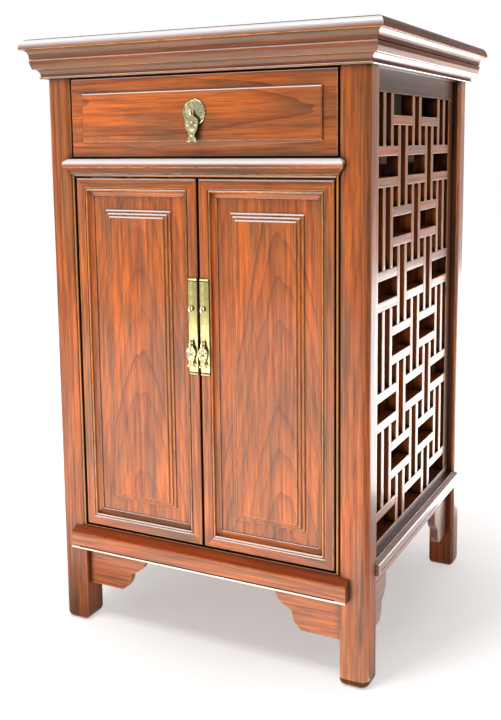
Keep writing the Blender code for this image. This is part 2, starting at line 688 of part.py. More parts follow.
def build_inside():
    x = INNER_X - JOINT_GAP
    middle_y = (BACK_OUTER_Y + BACK_INNER_Y) / 2
    panel_y = (middle_y - BACK_PANEL_THICKNESS / 2, middle_y + BACK_PANEL_THICKNESS / 2)
    for name, low, high in (
        ("back_panel_upper", WAIST_TOP, CORNICE_BOTTOM),
        ("back_panel_lower", BASE_TOP, WAIST_TOP - BACK_RAIL_HEIGHT),
    ):
        board(name, (-x, panel_y[0], low + JOINT_GAP), (x, panel_y[1], high - JOINT_GAP))

    # The floor's front edge stops the doors, with a notch at each corner where a door's heel swings in
    front = DOOR_BACK_Y + DOOR_STOP_GAP
    rear = panel_y[0] - JOINT_GAP
    notch_x = INNER_X - JOINT_GAP
    notch_y = INNER_Y - JOINT_GAP
    wide = SIDE_INNER_X - JOINT_GAP
    swing = math.hypot(PIVOT_FROM_EDGE, DOOR_THICKNESS - PIVOT_FROM_FACE) + DOOR_STOP_GAP
    heel_x = PIVOT_X - swing
    heel_y = PIVOT_Y + swing
    quarter = [(heel_x, front), (heel_x, heel_y), (notch_x, heel_y), (notch_x, -notch_y), (wide, -notch_y)]
    quarter += [(wide, notch_y), (notch_x, notch_y), (notch_x, rear)]
    outline = quarter + [(-px, py) for px, py in reversed(quarter)]
    low = BASE_TOP + JOINT_GAP
    rings = [[(px, py, z) for px, py in outline] for z in (low, low + FLOOR_THICKNESS)]
    place("cupboard_floor", loft(rings), STAINED_WOOD)

    guide_outer = INNER_X - JOINT_GAP
    guide_inner = guide_outer - RUNNER_WIDTH + JOINT_GAP
    ledge_inner = guide_inner - RUNNER_LEDGE
    top = WAIST_TOP + DRAWER_GAP - JOINT_GAP
    section = [
        (ledge_inner, top),
        (guide_inner, top),
        (guide_inner, top + RUNNER_GUIDE),
        (guide_outer, top + RUNNER_GUIDE),
        (guide_outer, top - RUNNER_THICKNESS),
        (ledge_inner, top - RUNNER_THICKNESS),
    ]
    ends = (RAIL_BACK_Y + JOINT_GAP, BACK_INNER_Y - JOINT_GAP)
    for x_name, x_sign in (("left", -1), ("right", 1)):
        rings = [[(x_sign * px, y, z) for px, z in section] for y in ends]
        place(f"drawer_runner_{x_name}", loft(rings), PALE_WOOD)


# Brass: a ring eye on a short shank, and a flat pendant that hangs in it

def eye_centre_y(plate_front_y):
    return plate_front_y - EYE_SHANK - EYE_WIRE - EYE_RADIUS


def add_eye(plate, name, x, z, plate_front_y):
    """Joins a ring in the YZ plane and its shank to a plate."""
    y = eye_centre_y(plate_front_y)
    bpy.ops.mesh.primitive_torus_add(
        major_radius=EYE_RADIUS,
        minor_radius=EYE_WIRE,
        major_segments=20,
        minor_segments=8,
        location=(x, y, z),
        rotation=(0, math.pi / 2, 0),
    )
    ring = bpy.context.object
    ring.name = f"{name}_ring"
    for collection in list(ring.users_collection):
        collection.objects.unlink(ring)
    CUTTERS.objects.link(ring)
    ring.hide_render = True
    ring.display_type = "WIRE"
    start = y + EYE_RADIUS
    stop = plate_front_y + PLATE_THICKNESS / 2
    where = (x, (start + stop) / 2, z)
    bm = cylinder(EYE_WIRE, stop - start, 12)
    shank = place(f"{name}_shank", bm, None, where, (math.pi / 2, 0, 0), collection=CUTTERS)
    cut(plate, "UNION", shank, ring)
    return y


def smooth_line(points, steps=3):
    """A smooth curve through points."""
    padded = [points[0], *points, points[-1]]
    line = []
    for i in range(1, len(padded) - 2):
        before, start, stop, after = padded[i - 1 : i + 3]
        for k in range(steps):
            t = k / steps
            place_now = []
            for a, b, c, d in zip(before, start, stop, after):
                bend = (2 * a - 5 * b + 4 * c - d) * t + (3 * b - 3 * c + d - a) * t * t
                place_now.append(b + 0.5 * t * (c - a + bend))
            line.append(tuple(place_now))
    line.append(points[-1])
    return line


def pendant_outline(width, reach):
    """Half outline of a vase shape from the lug to the middle of the foot, below the eye's centre."""
    half = width / 2
    hole = -EYE_RADIUS
    lug = arc((0, hole), (PENDANT_LUG, PENDANT_LUG), 90, -20, 5)
    shoulder = hole - 1.6 * PENDANT_LUG
    below = reach + shoulder
    side = [
        lug[-1],
        (0.9 * half, shoulder),
        (half, shoulder - 0.2 * below),
        (0.8 * half, shoulder - 0.45 * below),
        (0.42 * half, shoulder - 0.7 * below),
        (0.62 * half, shoulder - 0.84 * below),
        (0.86 * half, -reach),
    ]
    foot = [(0.3 * half, -reach), (0, -reach + 0.06 * below)]
    return lug[:-1] + smooth_line(side) + foot


def pendant(name, size, hinge):
    half_outline = pendant_outline(*size)
    outline = half_outline + [(-x, z) for x, z in reversed(half_outline[1:-1])]
    rings = [[(x, y, z) for x, z in outline] for y in (-PENDANT_THICKNESS / 2, PENDANT_THICKNESS / 2)]
    made = place(name, loft(rings), BRASS, hinge.location, parent=hinge)
    hole = cylinder(PENDANT_HOLE, 3 * PENDANT_THICKNESS, 16)
    world = hinge_place(hinge)
    where = (world[0], world[1], world[2] - EYE_RADIUS)
    cutter = place(f"{name}_hole", hole, None, where, (math.pi / 2, 0, 0), collection=CUTTERS)
    cut(made, "DIFFERENCE", cutter)
    return made


def hinge_place(hinge):
    """An empty's place in the world, through its parent."""
    base = hinge.parent.location if hinge.parent else (0, 0, 0)
    return [a + b for a, b in zip(hinge.location, base)]


def hang_pivot(name, where, carrier):
    """An empty on a pendant's axis, carried by another empty."""
    made = pivot(name, [a - b for a, b in zip(where, carrier.location)])
    made.parent = carrier
    return made


# Drawer

def build_drawer():
    slide = pivot("drawer_slide", (0, -HALF_DEPTH, (WAIST_TOP + CORNICE_BOTTOM) / 2))
    low = WAIST_TOP + DRAWER_GAP
    high = CORNICE_BOTTOM - DRAWER_GAP
    width = 2 * (INNER_X - DRAWER_GAP)
    front_y = -HALF_DEPTH + DRAWER_SETBACK
    back_y = front_y + DRAWER_FRONT_THICKNESS
    levels = [
        (0, -DRAWER_FRONT_THICKNESS),
        (0, -FILLET / 2),
        (FILLET / 2, 0),
        (DRAWER_BORDER, 0),
        (DRAWER_BORDER + FILLET, DRAWER_FIELD_RISE - FILLET / 2),
        (DRAWER_BORDER + 2 * FILLET, DRAWER_FIELD_RISE),
    ]
    where = (0, front_y, (low + high) / 2)
    face_up = (math.pi / 2, 0, 0)
    place("drawer_front", stepped_board(width, high - low, levels), STAINED_WOOD, where, face_up, slide)

    outer = INNER_X - RUNNER_WIDTH - RUNNING_GAP
    inner = outer - DRAWER_WALL
    rear = BACK_INNER_Y - DRAWER_REAR_ROOM
    start = back_y + JOINT_GAP
    top = high - DRAWER_BOX_ROOM
    for x_name, x_sign in (("left", -1), ("right", 1)):
        xs = sorted((x_sign * inner, x_sign * outer))
        board(f"drawer_side_{x_name}", (xs[0], start, low), (xs[1], rear, top), PALE_WOOD, slide)
    fit = inner - JOINT_GAP
    back_low = low + DRAWER_BOTTOM_LIFT + DRAWER_BOTTOM_THICKNESS + JOINT_GAP
    board("drawer_back", (-fit, rear - DRAWER_WALL, back_low), (fit, rear, top), PALE_WOOD, slide)
    bottom = low + DRAWER_BOTTOM_LIFT
    board(
        "drawer_bottom",
        (-fit, start, bottom),
        (fit, rear, bottom + DRAWER_BOTTOM_THICKNESS),
        PALE_WOOD,
        slide,
    )

    plate_back = front_y - DRAWER_FIELD_RISE - JOINT_GAP
    outline = []
    steps = 6 * ROSETTE_LOBES
    for i in range(steps):
        angle = 2 * math.pi * i / steps
        radius = ROSETTE_RADIUS + ROSETTE_LOBE_DEPTH * (math.cos(ROSETTE_LOBES * angle) - 1)
        outline.append((radius * math.sin(angle), radius * math.cos(angle)))
    rings = [[(x, y, z) for x, z in outline] for y in (-PLATE_THICKNESS, 0)]
    where = (0, plate_back, ROSETTE_HEIGHT)
    rosette = place("drawer_pull_plate", loft(rings), BRASS, where, parent=slide)
    eye_y = add_eye(rosette, "drawer_pull_eye", 0, ROSETTE_HEIGHT, plate_back - PLATE_THICKNESS)
    hinge = hang_pivot("drawer_pendant_pivot", (0, eye_y, ROSETTE_HEIGHT), slide)
    pendant("drawer_pendant", DRAWER_PENDANT, hinge)


# Doors: a mitred frame round a floating raised panel, turning on pins in the waist and base rails

def door_member_section():
    """(outward from the door's edge, forward from its face) points of a stile or rail."""
    soft = DOOR_EDGE_SOFT
    inner = -DOOR_FLAT - DOOR_MOULD
    bead = DOOR_MOULD / 4
    groove_front = -PANEL_DEPTH + JOINT_GAP
    groove_back = -PANEL_DEPTH - TONGUE_THICKNESS - JOINT_GAP
    groove_end = inner + TONGUE_LENGTH + PANEL_PLAY
    quirk = bead / 2
    points = [(0, -DOOR_THICKNESS), (0, -soft), (-soft, 0), (-DOOR_FLAT, 0)]
    points += [(-DOOR_FLAT - quirk / 2, -quirk)]
    points += arc((-DOOR_FLAT - bead, -quirk), (bead / 2, quirk), 0, 180, 4)
    points += arc((inner, -quirk), (DOOR_MOULD - 1.5 * bead, PANEL_DEPTH - 2 * quirk), 0, -90, 4)[1:]
    points += [
        (inner, groove_front),
        (groove_end, groove_front),
        (groove_end, groove_back),
        (inner, groove_back),
        (inner, -DOOR_THICKNESS),
    ]
    return points


def build_door(x_name, x_sign):
    hinge = pivot(f"door_{x_name}_pivot", (x_sign * PIVOT_X, PIVOT_Y, 0))
    middle_x = x_sign * (DOOR_OUTER_X + DOOR_INNER_X) / 2
    middle_z = (DOOR_TOP + DOOR_BOTTOM) / 2
    half_w = (DOOR_OUTER_X - DOOR_INNER_X) / 2
    half_h = (DOOR_TOP - DOOR_BOTTOM) / 2
    section = door_member_section()
    right_name, left_name = ("pivot", "meeting") if x_sign > 0 else ("meeting", "pivot")
    members = (
        ("rail_bottom", 0.0, (0, -half_h), half_w),
        (f"stile_{right_name}", math.pi / 2, (half_w, 0), half_h),
        ("rail_top", math.pi, (0, half_h), half_w),
        (f"stile_{left_name}", -math.pi / 2, (-half_w, 0), half_h),
    )
    for member, turn, (across, up), half in members:
        where = (middle_x + across, DOOR_FRONT_Y, middle_z + up)
        made = place(
            f"door_{x_name}_{member}",
            moulding(section, half - JOINT_GAP / 2, 1.0),
            STAINED_WOOD,
            where,
            (math.pi / 2, -turn, 0),
            hinge,
        )
        if "rail" in member:
            direction = 1 if member == "rail_top" else -1
            seat = WAIST_BOTTOM if direction > 0 else BASE_TOP
            edge = DOOR_TOP if direction > 0 else DOOR_BOTTOM
            tip = seat + direction * PIN_DEPTH
            root = edge - direction * DOOR_FLAT / 2
            pin_name = f"door_{x_name}_{member}_pin"
            where = (x_sign * PIVOT_X, PIVOT_Y, (tip + root) / 2)
            pin = place(pin_name, cylinder(PIN_RADIUS, abs(tip - root)), None, where, collection=CUTTERS)
            cut(made, "UNION", pin)

    sight = DOOR_FLAT + DOOR_MOULD
    tongue = TONGUE_LENGTH - PANEL_PLAY
    field = tongue + PANEL_MARGIN
    width = 2 * (half_w - sight + tongue)
    height = 2 * (half_h - sight + tongue)
    levels = [(0, -PANEL_DEPTH - TONGUE_THICKNESS), (0, -PANEL_DEPTH), (field, -PANEL_DEPTH)]
    for step in range(FIELD_STEPS):
        inset = field + step * FIELD_STEP
        level = -PANEL_DEPTH + step * FIELD_RISE
        levels += [(inset + FILLET / 3, level + FIELD_RISE), (inset + FIELD_STEP, level + FIELD_RISE)]
    panel = stepped_board(width, height, levels)
    where = (middle_x, DOOR_FRONT_Y, middle_z)
    place(f"door_{x_name}_panel", panel, STAINED_WOOD, where, (math.pi / 2, 0, 0), hinge)

    plate_back = DOOR_FRONT_Y - JOINT_GAP
    plate_front = plate_back - PLATE_THICKNESS
    plate_x = x_sign * (DOOR_INNER_X + PLATE_FROM_EDGE + PLATE_WIDTH / 2)
    soft = PLATE_EDGE_SOFT
    levels = [(0, 0), (0, PLATE_THICKNESS - soft), (soft, PLATE_THICKNESS)]
    plate = place(
        f"door_{x_name}_plate",
        stepped_board(PLATE_WIDTH, PLATE_HEIGHT, levels),
        BRASS,
        (plate_x, plate_back, PLATE_TOP - PLATE_HEIGHT / 2),
        (math.pi / 2, 0, 0),
        hinge,
    )
    add_eye(plate, f"door_{x_name}_upper_eye", plate_x, PLATE_TOP - UPPER_EYE_DROP, plate_front)
    eye_z = PLATE_TOP - LOWER_EYE_DROP
    eye_y = add_eye(plate, f"door_{x_name}_lower_eye", plate_x, eye_z, plate_front)
    hanger = hang_pivot(f"door_{x_name}_pendant_pivot", (plate_x, eye_y, eye_z), hinge)
    pendant(f"door_{x_name}_pendant", DOOR_PENDANT, hanger)


build_top()
SCRIBES = build_posts()
build_rails(SCRIBES)
build_beads()
build_lattices()
build_spandrels()
build_inside()
build_drawer()
build_door("left", -1)
build_door("right", 1)
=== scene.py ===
"""Finish of a small lattice-sided cabinet: stained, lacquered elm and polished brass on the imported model."""

import json
import math

import bmesh
import bpy
from mathutils import Matrix, Vector
from mathutils.bvhtree import BVHTree

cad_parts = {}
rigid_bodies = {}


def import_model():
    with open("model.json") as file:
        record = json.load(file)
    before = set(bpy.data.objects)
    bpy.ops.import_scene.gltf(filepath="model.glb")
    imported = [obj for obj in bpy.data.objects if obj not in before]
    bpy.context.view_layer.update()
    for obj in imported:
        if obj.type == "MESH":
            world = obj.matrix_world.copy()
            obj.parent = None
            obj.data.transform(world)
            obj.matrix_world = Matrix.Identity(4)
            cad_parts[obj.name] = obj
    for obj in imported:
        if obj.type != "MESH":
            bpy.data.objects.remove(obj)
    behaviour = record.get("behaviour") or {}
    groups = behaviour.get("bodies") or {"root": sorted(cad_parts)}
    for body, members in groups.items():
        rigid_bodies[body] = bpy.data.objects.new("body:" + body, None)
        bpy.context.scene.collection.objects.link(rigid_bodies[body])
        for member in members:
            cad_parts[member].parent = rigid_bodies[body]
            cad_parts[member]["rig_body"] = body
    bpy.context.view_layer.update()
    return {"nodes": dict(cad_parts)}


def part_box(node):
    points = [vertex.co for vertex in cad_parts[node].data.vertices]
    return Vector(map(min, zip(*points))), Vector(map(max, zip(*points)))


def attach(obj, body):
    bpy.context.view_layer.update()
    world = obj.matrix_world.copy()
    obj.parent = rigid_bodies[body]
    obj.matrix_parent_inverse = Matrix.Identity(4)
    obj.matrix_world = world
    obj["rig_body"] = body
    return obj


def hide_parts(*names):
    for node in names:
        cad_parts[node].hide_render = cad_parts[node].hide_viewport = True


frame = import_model()


# Studio
# A pale floor runs out into a white surround, with a soft lamp above the front and a card at the left. Two
# pale sheets on the ground, outside the picture, show as a sheen in the lacquer. The camera stands at the
# right front.

mm = 0.001


def linear(code):
    """An sRGB hex colour as linear red, green, blue and alpha."""
    parts = [int(code[i : i + 2], 16) / 255 for i in (1, 3, 5)]
    return tuple(p / 12.92 if p <= 0.04045 else ((p + 0.055) / 1.055) ** 2.4 for p in parts) + (1.0,)


def add(tree, kind, inputs=None, **settings):
    """Adds one shader node, and sets or links its inputs by name or number."""
    node = tree.nodes.new("ShaderNode" + kind)
    for name, value in settings.items():
        setattr(node, name, value)
    for name, value in (inputs or {}).items():
        if isinstance(value, bpy.types.NodeSocket):
            tree.links.new(value, node.inputs[name])
        else:
            node.inputs[name].default_value = value
    return node


def empty_material(name):
    """A new material with no nodes yet, and its node tree."""
    material = bpy.data.materials.new(name)
    material.use_nodes = True
    material.node_tree.nodes.clear()
    return material, material.node_tree


def put(name, mesh, *materials):
    """Links a mesh to the scene as one object."""
    for material in materials:
        mesh.materials.append(material)
    made = bpy.data.objects.new(name, mesh)
    bpy.context.scene.collection.objects.link(made)
    return made


def looked_at(tree):
    """One where the camera, a reflection or clear glass shows the surface, nought where it only gives light."""
    path = add(tree, "LightPath").outputs
    seen = add(tree, "Math", {0: path["Is Camera Ray"], 1: path["Is Glossy Ray"]}, operation="MAXIMUM")
    seen = add(tree, "Math", {0: seen.outputs[0], 1: path["Is Transmission Ray"]}, operation="MAXIMUM")
    return seen.outputs[0]


bpy.context.scene.view_settings.view_transform = "Standard"

light_given = 0.32
surround = bpy.data.worlds.new("white_surround")
surround.use_nodes = True
bpy.context.scene.world = surround
tree = surround.node_tree
tree.nodes.clear()
strength = add(tree, "MapRange", {"Value": looked_at(tree), "To Min": light_given, "To Max": 1.0}).outputs[0]
sky = add(tree, "Background", {"Color": linear("#FFFFFF"), "Strength": strength})
add(tree, "OutputWorld", {"Surface": sky.outputs[0]})

# Matt painted floor: an even pale grey with faint roller mottling, lifted to white where it is looked at. It is
# lifted less close to the cabinet, so that the shadow between the feet stays.
painted_floor, tree = empty_material("matt_painted_floor")
roller_mottle = 120 * mm
under_cabinet, open_floor = 0.2, 0.6
mottle = add(tree, "TexNoise", {"Scale": 1 / roller_mottle, "Detail": 3.0}).outputs["Fac"]
paint = add(
    tree,
    "Mix",
    {0: mottle, 6: linear("#F0F0F0"), 7: linear("#F4F4F4")},
    data_type="RGBA",
).outputs[2]
place = add(tree, "TexCoord").outputs["Object"]
away = add(tree, "VectorMath", {0: place}, operation="LENGTH").outputs["Value"]
lift = add(
    tree,
    "MapRange",
    {"Value": away, "From Min": under_cabinet, "From Max": open_floor, "To Min": 0.42, "To Max": 0.9},
).outputs[0]
lift = add(tree, "Math", {0: looked_at(tree), 1: lift}, operation="MULTIPLY").outputs[0]
matt = {
    "Base Color": paint,
    "Roughness": 0.9,
    "Specular IOR Level": 0.2,
    "Emission Color": linear("#FFFFFF"),
    "Emission Strength": lift,
}
add(tree, "OutputMaterial", {"Surface": add(tree, "BsdfPrincipled", matt).outputs[0]})
half_floor = 7.0
floor_level = -0.2 * mm
corners = [(x * half_floor, y * half_floor, floor_level) for x, y in ((-1, -1), (1, -1), (1, 1), (-1, 1))]
mesh = bpy.data.meshes.new("studio_floor")
mesh.from_pydata(corners, [], [(0, 1, 2, 3)])
put("studio_floor", mesh, painted_floor)

# Each lamp: where it is, how it is turned, its width and length in metres, and its watts.
lamps = {
    "overhead_front": ((-0.3, -1.0, 2.2), (math.radians(30), 0, math.radians(-17)), (0.5, 0.5), 17),
    "left_front_card": ((-1.65, -1.8, 0.95), (math.radians(90), 0, 0), (1.1, 1.3), 4),
    "ground_sheet_front": ((-0.4, -1.4, 0.01), (math.pi, 0, math.radians(15)), (2.2, 2.0), 44),
    "ground_sheet_right_rear": ((0.66, 1.95, 0.01), (math.pi, 0, 0), (1.5, 3.1), 88),
}
for name, (where, turn, size, watts) in lamps.items():
    light = bpy.data.lights.new(name, "AREA")
    light.shape = "RECTANGLE"
    light.size, light.size_y = size
    light.energy = watts
    lamp = bpy.data.objects.new(name, light)
    lamp.location = where
    lamp.rotation_euler = turn
    lamp.visible_camera = False
    bpy.context.scene.collection.objects.link(lamp)

view = bpy.data.cameras.new("right_front_view")
view.sensor_fit = "VERTICAL"
view.sensor_height = 36
view.lens = 48.486
view.shift_x, view.shift_y = -0.00553, -0.1194
eye = (0.5944, -1.2387, 0.6552)
aside_angle, down_angle, tilt_angle = 26.646, 7.704, -0.617
turn = Matrix.Rotation(math.radians(aside_angle), 4, "Z")
turn = turn @ Matrix.Rotation(math.radians(90 - down_angle), 4, "X")
turn = turn @ Matrix.Rotation(math.radians(tilt_angle), 4, "Z")
camera = bpy.data.objects.new("right_front_view", view)
camera.matrix_world = Matrix.Translation(eye) @ turn
bpy.context.scene.collection.objects.link(camera)
bpy.context.scene.camera = camera


# Posts
# Four square posts of stained elm run from floor to top, with a rounded outer corner and a fall towards the
# panels. Each is planed from one length, mortised for the rails, its arrises eased before staining.

def stained_elm(
    name,
    grain,
    heart=(-3.0, -2.4),
    climb=0.0,
    ring=7.5 * mm,
    shade="#6E5F4E",
    shaded=0.0,
    polish=0.3,
):
    """Elm stained orange brown under semi-gloss lacquer, with its grain along one axis.

    Open-pored wood takes the stain unevenly, which gives streaks between orange and grey brown. The lacquer is
    thin enough for the pores to show and is rubbed through to tan on the arrises, a tan that also serves as a
    painted highlight. Creases and the inside carry painted shade.
    The heart is the middle of the tree across and behind the board, and the rings climb along it as it tapers.
    A shade is what handling or dust has left over the stain, and polish is how bright the lacquer is.
    """
    material, tree = empty_material(name)
    place = add(tree, "TexCoord").outputs["Object"]
    spot = add(tree, "SeparateXYZ", {0: place}).outputs
    across, depth, along = (spot[axis] for axis in {"z": "XYZ", "x": "ZYX", "y": "ZXY"}[grain])
    chance = add(tree, "ObjectInfo").outputs["Random"]
    board = add(tree, "Attribute", attribute_name="board").outputs["Fac"]
    own = add(tree, "Math", {0: chance, 1: board}, operation="ADD").outputs[0]
    own = add(tree, "Math", {0: own, 1: 23.0}, operation="MULTIPLY").outputs[0]

    # The same place drawn out along the grain, more and more, for patches, grey stain and streaks.
    drawn_out = []
    for share in (0.3, 0.12, 0.04):
        shortened = add(tree, "Math", {0: along, 1: share}, operation="MULTIPLY").outputs[0]
        drawn_out.append(add(tree, "CombineXYZ", {0: across, 1: depth, 2: shortened}).outputs[0])
    broad, middling, fine = drawn_out

    # Growth rings 7 to 9 mm apart, cut along the tree: near straight lines, or flames where the heart is near.
    sway_length, sway_reach, waver_width = 110 * mm, 22 * mm, 14 * mm
    sway = add(
        tree,
        "TexNoise",
        {"Vector": broad, "W": own, "Scale": 1 / sway_length, "Detail": 2.0},
        noise_dimensions="4D",
    ).outputs["Fac"]
    sway = add(tree, "MapRange", {"Value": sway, "To Min": -sway_reach, "To Max": sway_reach}).outputs[0]
    bent = add(tree, "Math", {0: across, 1: sway}, operation="ADD").outputs[0]
    bent = add(tree, "Math", {0: bent, 1: heart[0]}, operation="SUBTRACT").outputs[0]
    sunk = add(tree, "Math", {0: depth, 1: heart[1]}, operation="SUBTRACT").outputs[0]
    from_heart = add(tree, "CombineXYZ", {0: bent, 1: sunk}).outputs[0]
    radius = add(tree, "VectorMath", {0: from_heart}, operation="LENGTH").outputs["Value"]
    radius = add(tree, "Math", {0: along, 1: climb, 2: radius}, operation="MULTIPLY_ADD").outputs[0]
    radius = add(tree, "Math", {0: radius, 1: 1 / ring, 2: own}, operation="MULTIPLY_ADD").outputs[0]
    waver = add(
        tree,
        "TexNoise",
        {"Vector": fine, "W": own, "Scale": 1 / waver_width, "Detail": 3.0},
        noise_dimensions="4D",
    ).outputs["Fac"]
    radius = add(tree, "Math", {0: waver, 1: 0.7, 2: radius}, operation="MULTIPLY_ADD").outputs[0]
    year = add(tree, "Math", {0: radius}, operation="FLOOR").outputs[0]
    weight = add(tree, "TexWhiteNoise", {"W": year}, noise_dimensions="1D").outputs["Value"]
    weight = add(tree, "MapRange", {"Value": weight, "To Min": 0.1, "To Max": 0.8}).outputs[0]
    late = add(tree, "Math", {0: radius}, operation="FRACT").outputs[0]
    late = add(tree, "Math", {0: late, 1: 4.0}, operation="POWER").outputs[0]
    late = add(tree, "Math", {0: late, 1: weight}, operation="MULTIPLY").outputs[0]

    # Stain: orange patches a hand wide, and grey ones a finger wide. Streaks 4 mm wide and the pores lie over
    # them, with the pores drawn coarser than the real 0.3 mm to show.
    patch_width, grey_width, streak_width, pore_width = 55 * mm, 16 * mm, 3.5 * mm, 1.4 * mm
    patch = add(
        tree,
        "TexNoise",
        {"Vector": broad, "W": own, "Scale": 1 / patch_width, "Detail": 3.0},
        noise_dimensions="4D",
    ).outputs["Fac"]
    patch = add(tree, "MapRange", {"Value": patch, "From Min": 0.36, "From Max": 0.66}).outputs[0]
    colour = add(
        tree,
        "Mix",
        {0: patch, 6: linear("#D4691C"), 7: linear("#9A5828")},
        data_type="RGBA",
    ).outputs[2]
    ashen = add(
        tree,
        "TexNoise",
        {"Vector": middling, "W": own, "Scale": 1 / grey_width, "Detail": 3.0},
        noise_dimensions="4D",
    ).outputs["Fac"]
    ashen = add(
        tree,
        "MapRange",
        {"Value": ashen, "From Min": 0.5, "From Max": 0.72, "To Max": 0.75},
    ).outputs[0]
    colour = add(tree, "Mix", {0: ashen, 6: colour, 7: linear("#79583A")}, data_type="RGBA").outputs[2]
    colour = add(tree, "Mix", {0: late, 6: colour, 7: linear("#582B11")}, data_type="RGBA").outputs[2]
    streak = add(
        tree,
        "TexNoise",
        {"Vector": fine, "W": own, "Scale": 1 / streak_width, "Detail": 2.0},
        noise_dimensions="4D",
    ).outputs["Fac"]
    streak = add(tree, "MapRange", {"Value": streak, "From Min": 0.3, "From Max": 0.7}).outputs[0]
    tone = add(
        tree,
        "Mix",
        {0: streak, 6: linear("#B0A39B"), 7: linear("#FFFFFF")},
        data_type="RGBA",
    ).outputs[2]
    colour = add(
        tree,
        "Mix",
        {0: 1.0, 6: colour, 7: tone},
        data_type="RGBA",
        blend_type="MULTIPLY",
    ).outputs[2]
    pore = add(
        tree,
        "TexNoise",
        {"Vector": fine, "W": own, "Scale": 1 / pore_width, "Detail": 1.0},
        noise_dimensions="4D",
    ).outputs["Fac"]
    pore = add(tree, "MapRange", {"Value": pore, "From Min": 0.56, "From Max": 0.7}).outputs[0]
    speck = add(tree, "Math", {0: pore, 1: 0.45}, operation="MULTIPLY").outputs[0]
    colour = add(tree, "Mix", {0: speck, 6: colour, 7: linear("#3A1A0C")}, data_type="RGBA").outputs[2]
    colour = add(tree, "Mix", {0: shaded, 6: colour, 7: linear(shade)}, data_type="RGBA").outputs[2]

    # Wear and painted light: arrises rubbed to tan in spots, a tan that also serves as a painted highlight;
    # painted shade in creases and where two members meet; and painted shade over the inside. Both kinds of
    # painted shade fade out near the floor, which would shut off the feet too.
    wear_and_highlight_width, crease_shade_reach, inner_shade_reach = 25 * mm, 10 * mm, 160 * mm
    arris = add(tree, "Attribute", attribute_name="arris").outputs["Fac"]
    wear_and_highlight = add(
        tree,
        "TexNoise",
        {"W": own, "Scale": 1 / wear_and_highlight_width, "Detail": 3.0},
        noise_dimensions="4D",
    ).outputs["Fac"]
    wear_and_highlight = add(tree, "MapRange", {"Value": wear_and_highlight, "From Min": 0.35, "From Max": 0.65}).outputs[0]
    wear_and_highlight = add(tree, "Math", {0: wear_and_highlight, 1: arris}, operation="MULTIPLY").outputs[0]
    wear_and_highlight = add(tree, "Math", {0: wear_and_highlight, 1: 0.75}, operation="MULTIPLY").outputs[0]
    colour = add(tree, "Mix", {0: wear_and_highlight, 6: colour, 7: linear("#D99A55")}, data_type="RGBA").outputs[2]
    # Painted shade: near black in creases, quirks and where two members meet.
    shut = add(tree, "AmbientOcclusion", {"Distance": crease_shade_reach}, samples=8).outputs["AO"]
    shut = add(
        tree,
        "MapRange",
        {"Value": shut, "From Min": 0.5, "From Max": 0.94, "To Min": 0.85, "To Max": 0.0},
    ).outputs[0]
    foot = add(tree, "MapRange", {"Value": spot["Z"], "From Min": 10 * mm, "From Max": 35 * mm}).outputs[0]
    shut = add(tree, "Math", {0: shut, 1: foot}, operation="MULTIPLY").outputs[0]
    colour = add(tree, "Mix", {0: shut, 6: colour, 7: linear("#1A0C07")}, data_type="RGBA").outputs[2]
    # Painted shade over the inside and under overhangs.
    painted_inner_shade = add(tree, "AmbientOcclusion", {"Distance": inner_shade_reach}, samples=8).outputs["AO"]
    painted_inner_shade = add(
        tree,
        "MapRange",
        {"Value": painted_inner_shade, "From Min": 0.3, "From Max": 0.72, "To Min": 0.93, "To Max": 0.0},
    ).outputs[0]
    foot = add(tree, "MapRange", {"Value": spot["Z"], "From Min": 60 * mm, "From Max": 150 * mm}).outputs[0]
    painted_inner_shade = add(tree, "Math", {0: painted_inner_shade, 1: foot}, operation="MULTIPLY").outputs[0]
    colour = add(tree, "Mix", {0: painted_inner_shade, 6: colour, 7: linear("#1C110D")}, data_type="RGBA").outputs[2]

    # Narrow ledges that look up get a painted highlight, so that they draw a white line under each moulding.
    normal = add(tree, "NewGeometry").outputs["Normal"]
    upward = add(tree, "SeparateXYZ", {0: normal}).outputs["Z"]
    upward = add(tree, "MapRange", {"Value": upward, "From Min": 0.08, "From Max": 0.5}).outputs[0]
    ledge = add(tree, "Attribute", attribute_name="ledge").outputs["Fac"]
    painted_highlight = add(tree, "Math", {0: upward, 1: ledge}, operation="MULTIPLY").outputs[0]
    colour = add(tree, "Mix", {0: painted_highlight, 6: colour, 7: linear("#F1EDEC")}, data_type="RGBA").outputs[2]

    gloss = add(tree, "MapRange", {"Value": streak, "To Min": 0.42, "To Max": 0.3}).outputs[0]
    relief = add(tree, "Math", {0: pore, 1: -1.0, 2: streak}, operation="MULTIPLY_ADD").outputs[0]
    bump = add(tree, "Bump", {"Strength": 0.25, "Distance": 0.15 * mm, "Height": relief}).outputs[0]
    wood = {
        "Base Color": colour,
        "Roughness": gloss,
        "IOR": 1.5,
        "Normal": bump,
        "Specular IOR Level": 0.66 * polish,
        "Coat Weight": polish,
        "Coat Roughness": 0.13,
        "Coat IOR": 1.5,
    }
    add(tree, "OutputMaterial", {"Surface": add(tree, "BsdfPrincipled", wood).outputs[0]})
    return material


elm_post = stained_elm("stained_elm_post", "z", polish=0.25)
members = frame["nodes"]
skins = {}
for name, member in members.items():
    spots = [vertex.co for vertex in member.data.vertices]
    skins[name] = BVHTree.FromPolygons(spots, [face.vertices for face in member.data.polygons])
weld = 0.005 * mm
flat = math.radians(0.5)
beside = 0.6 * mm
touching = 0.45 * mm
square_edge = math.radians(30)
crease = math.radians(32)
least_rise = 0.05


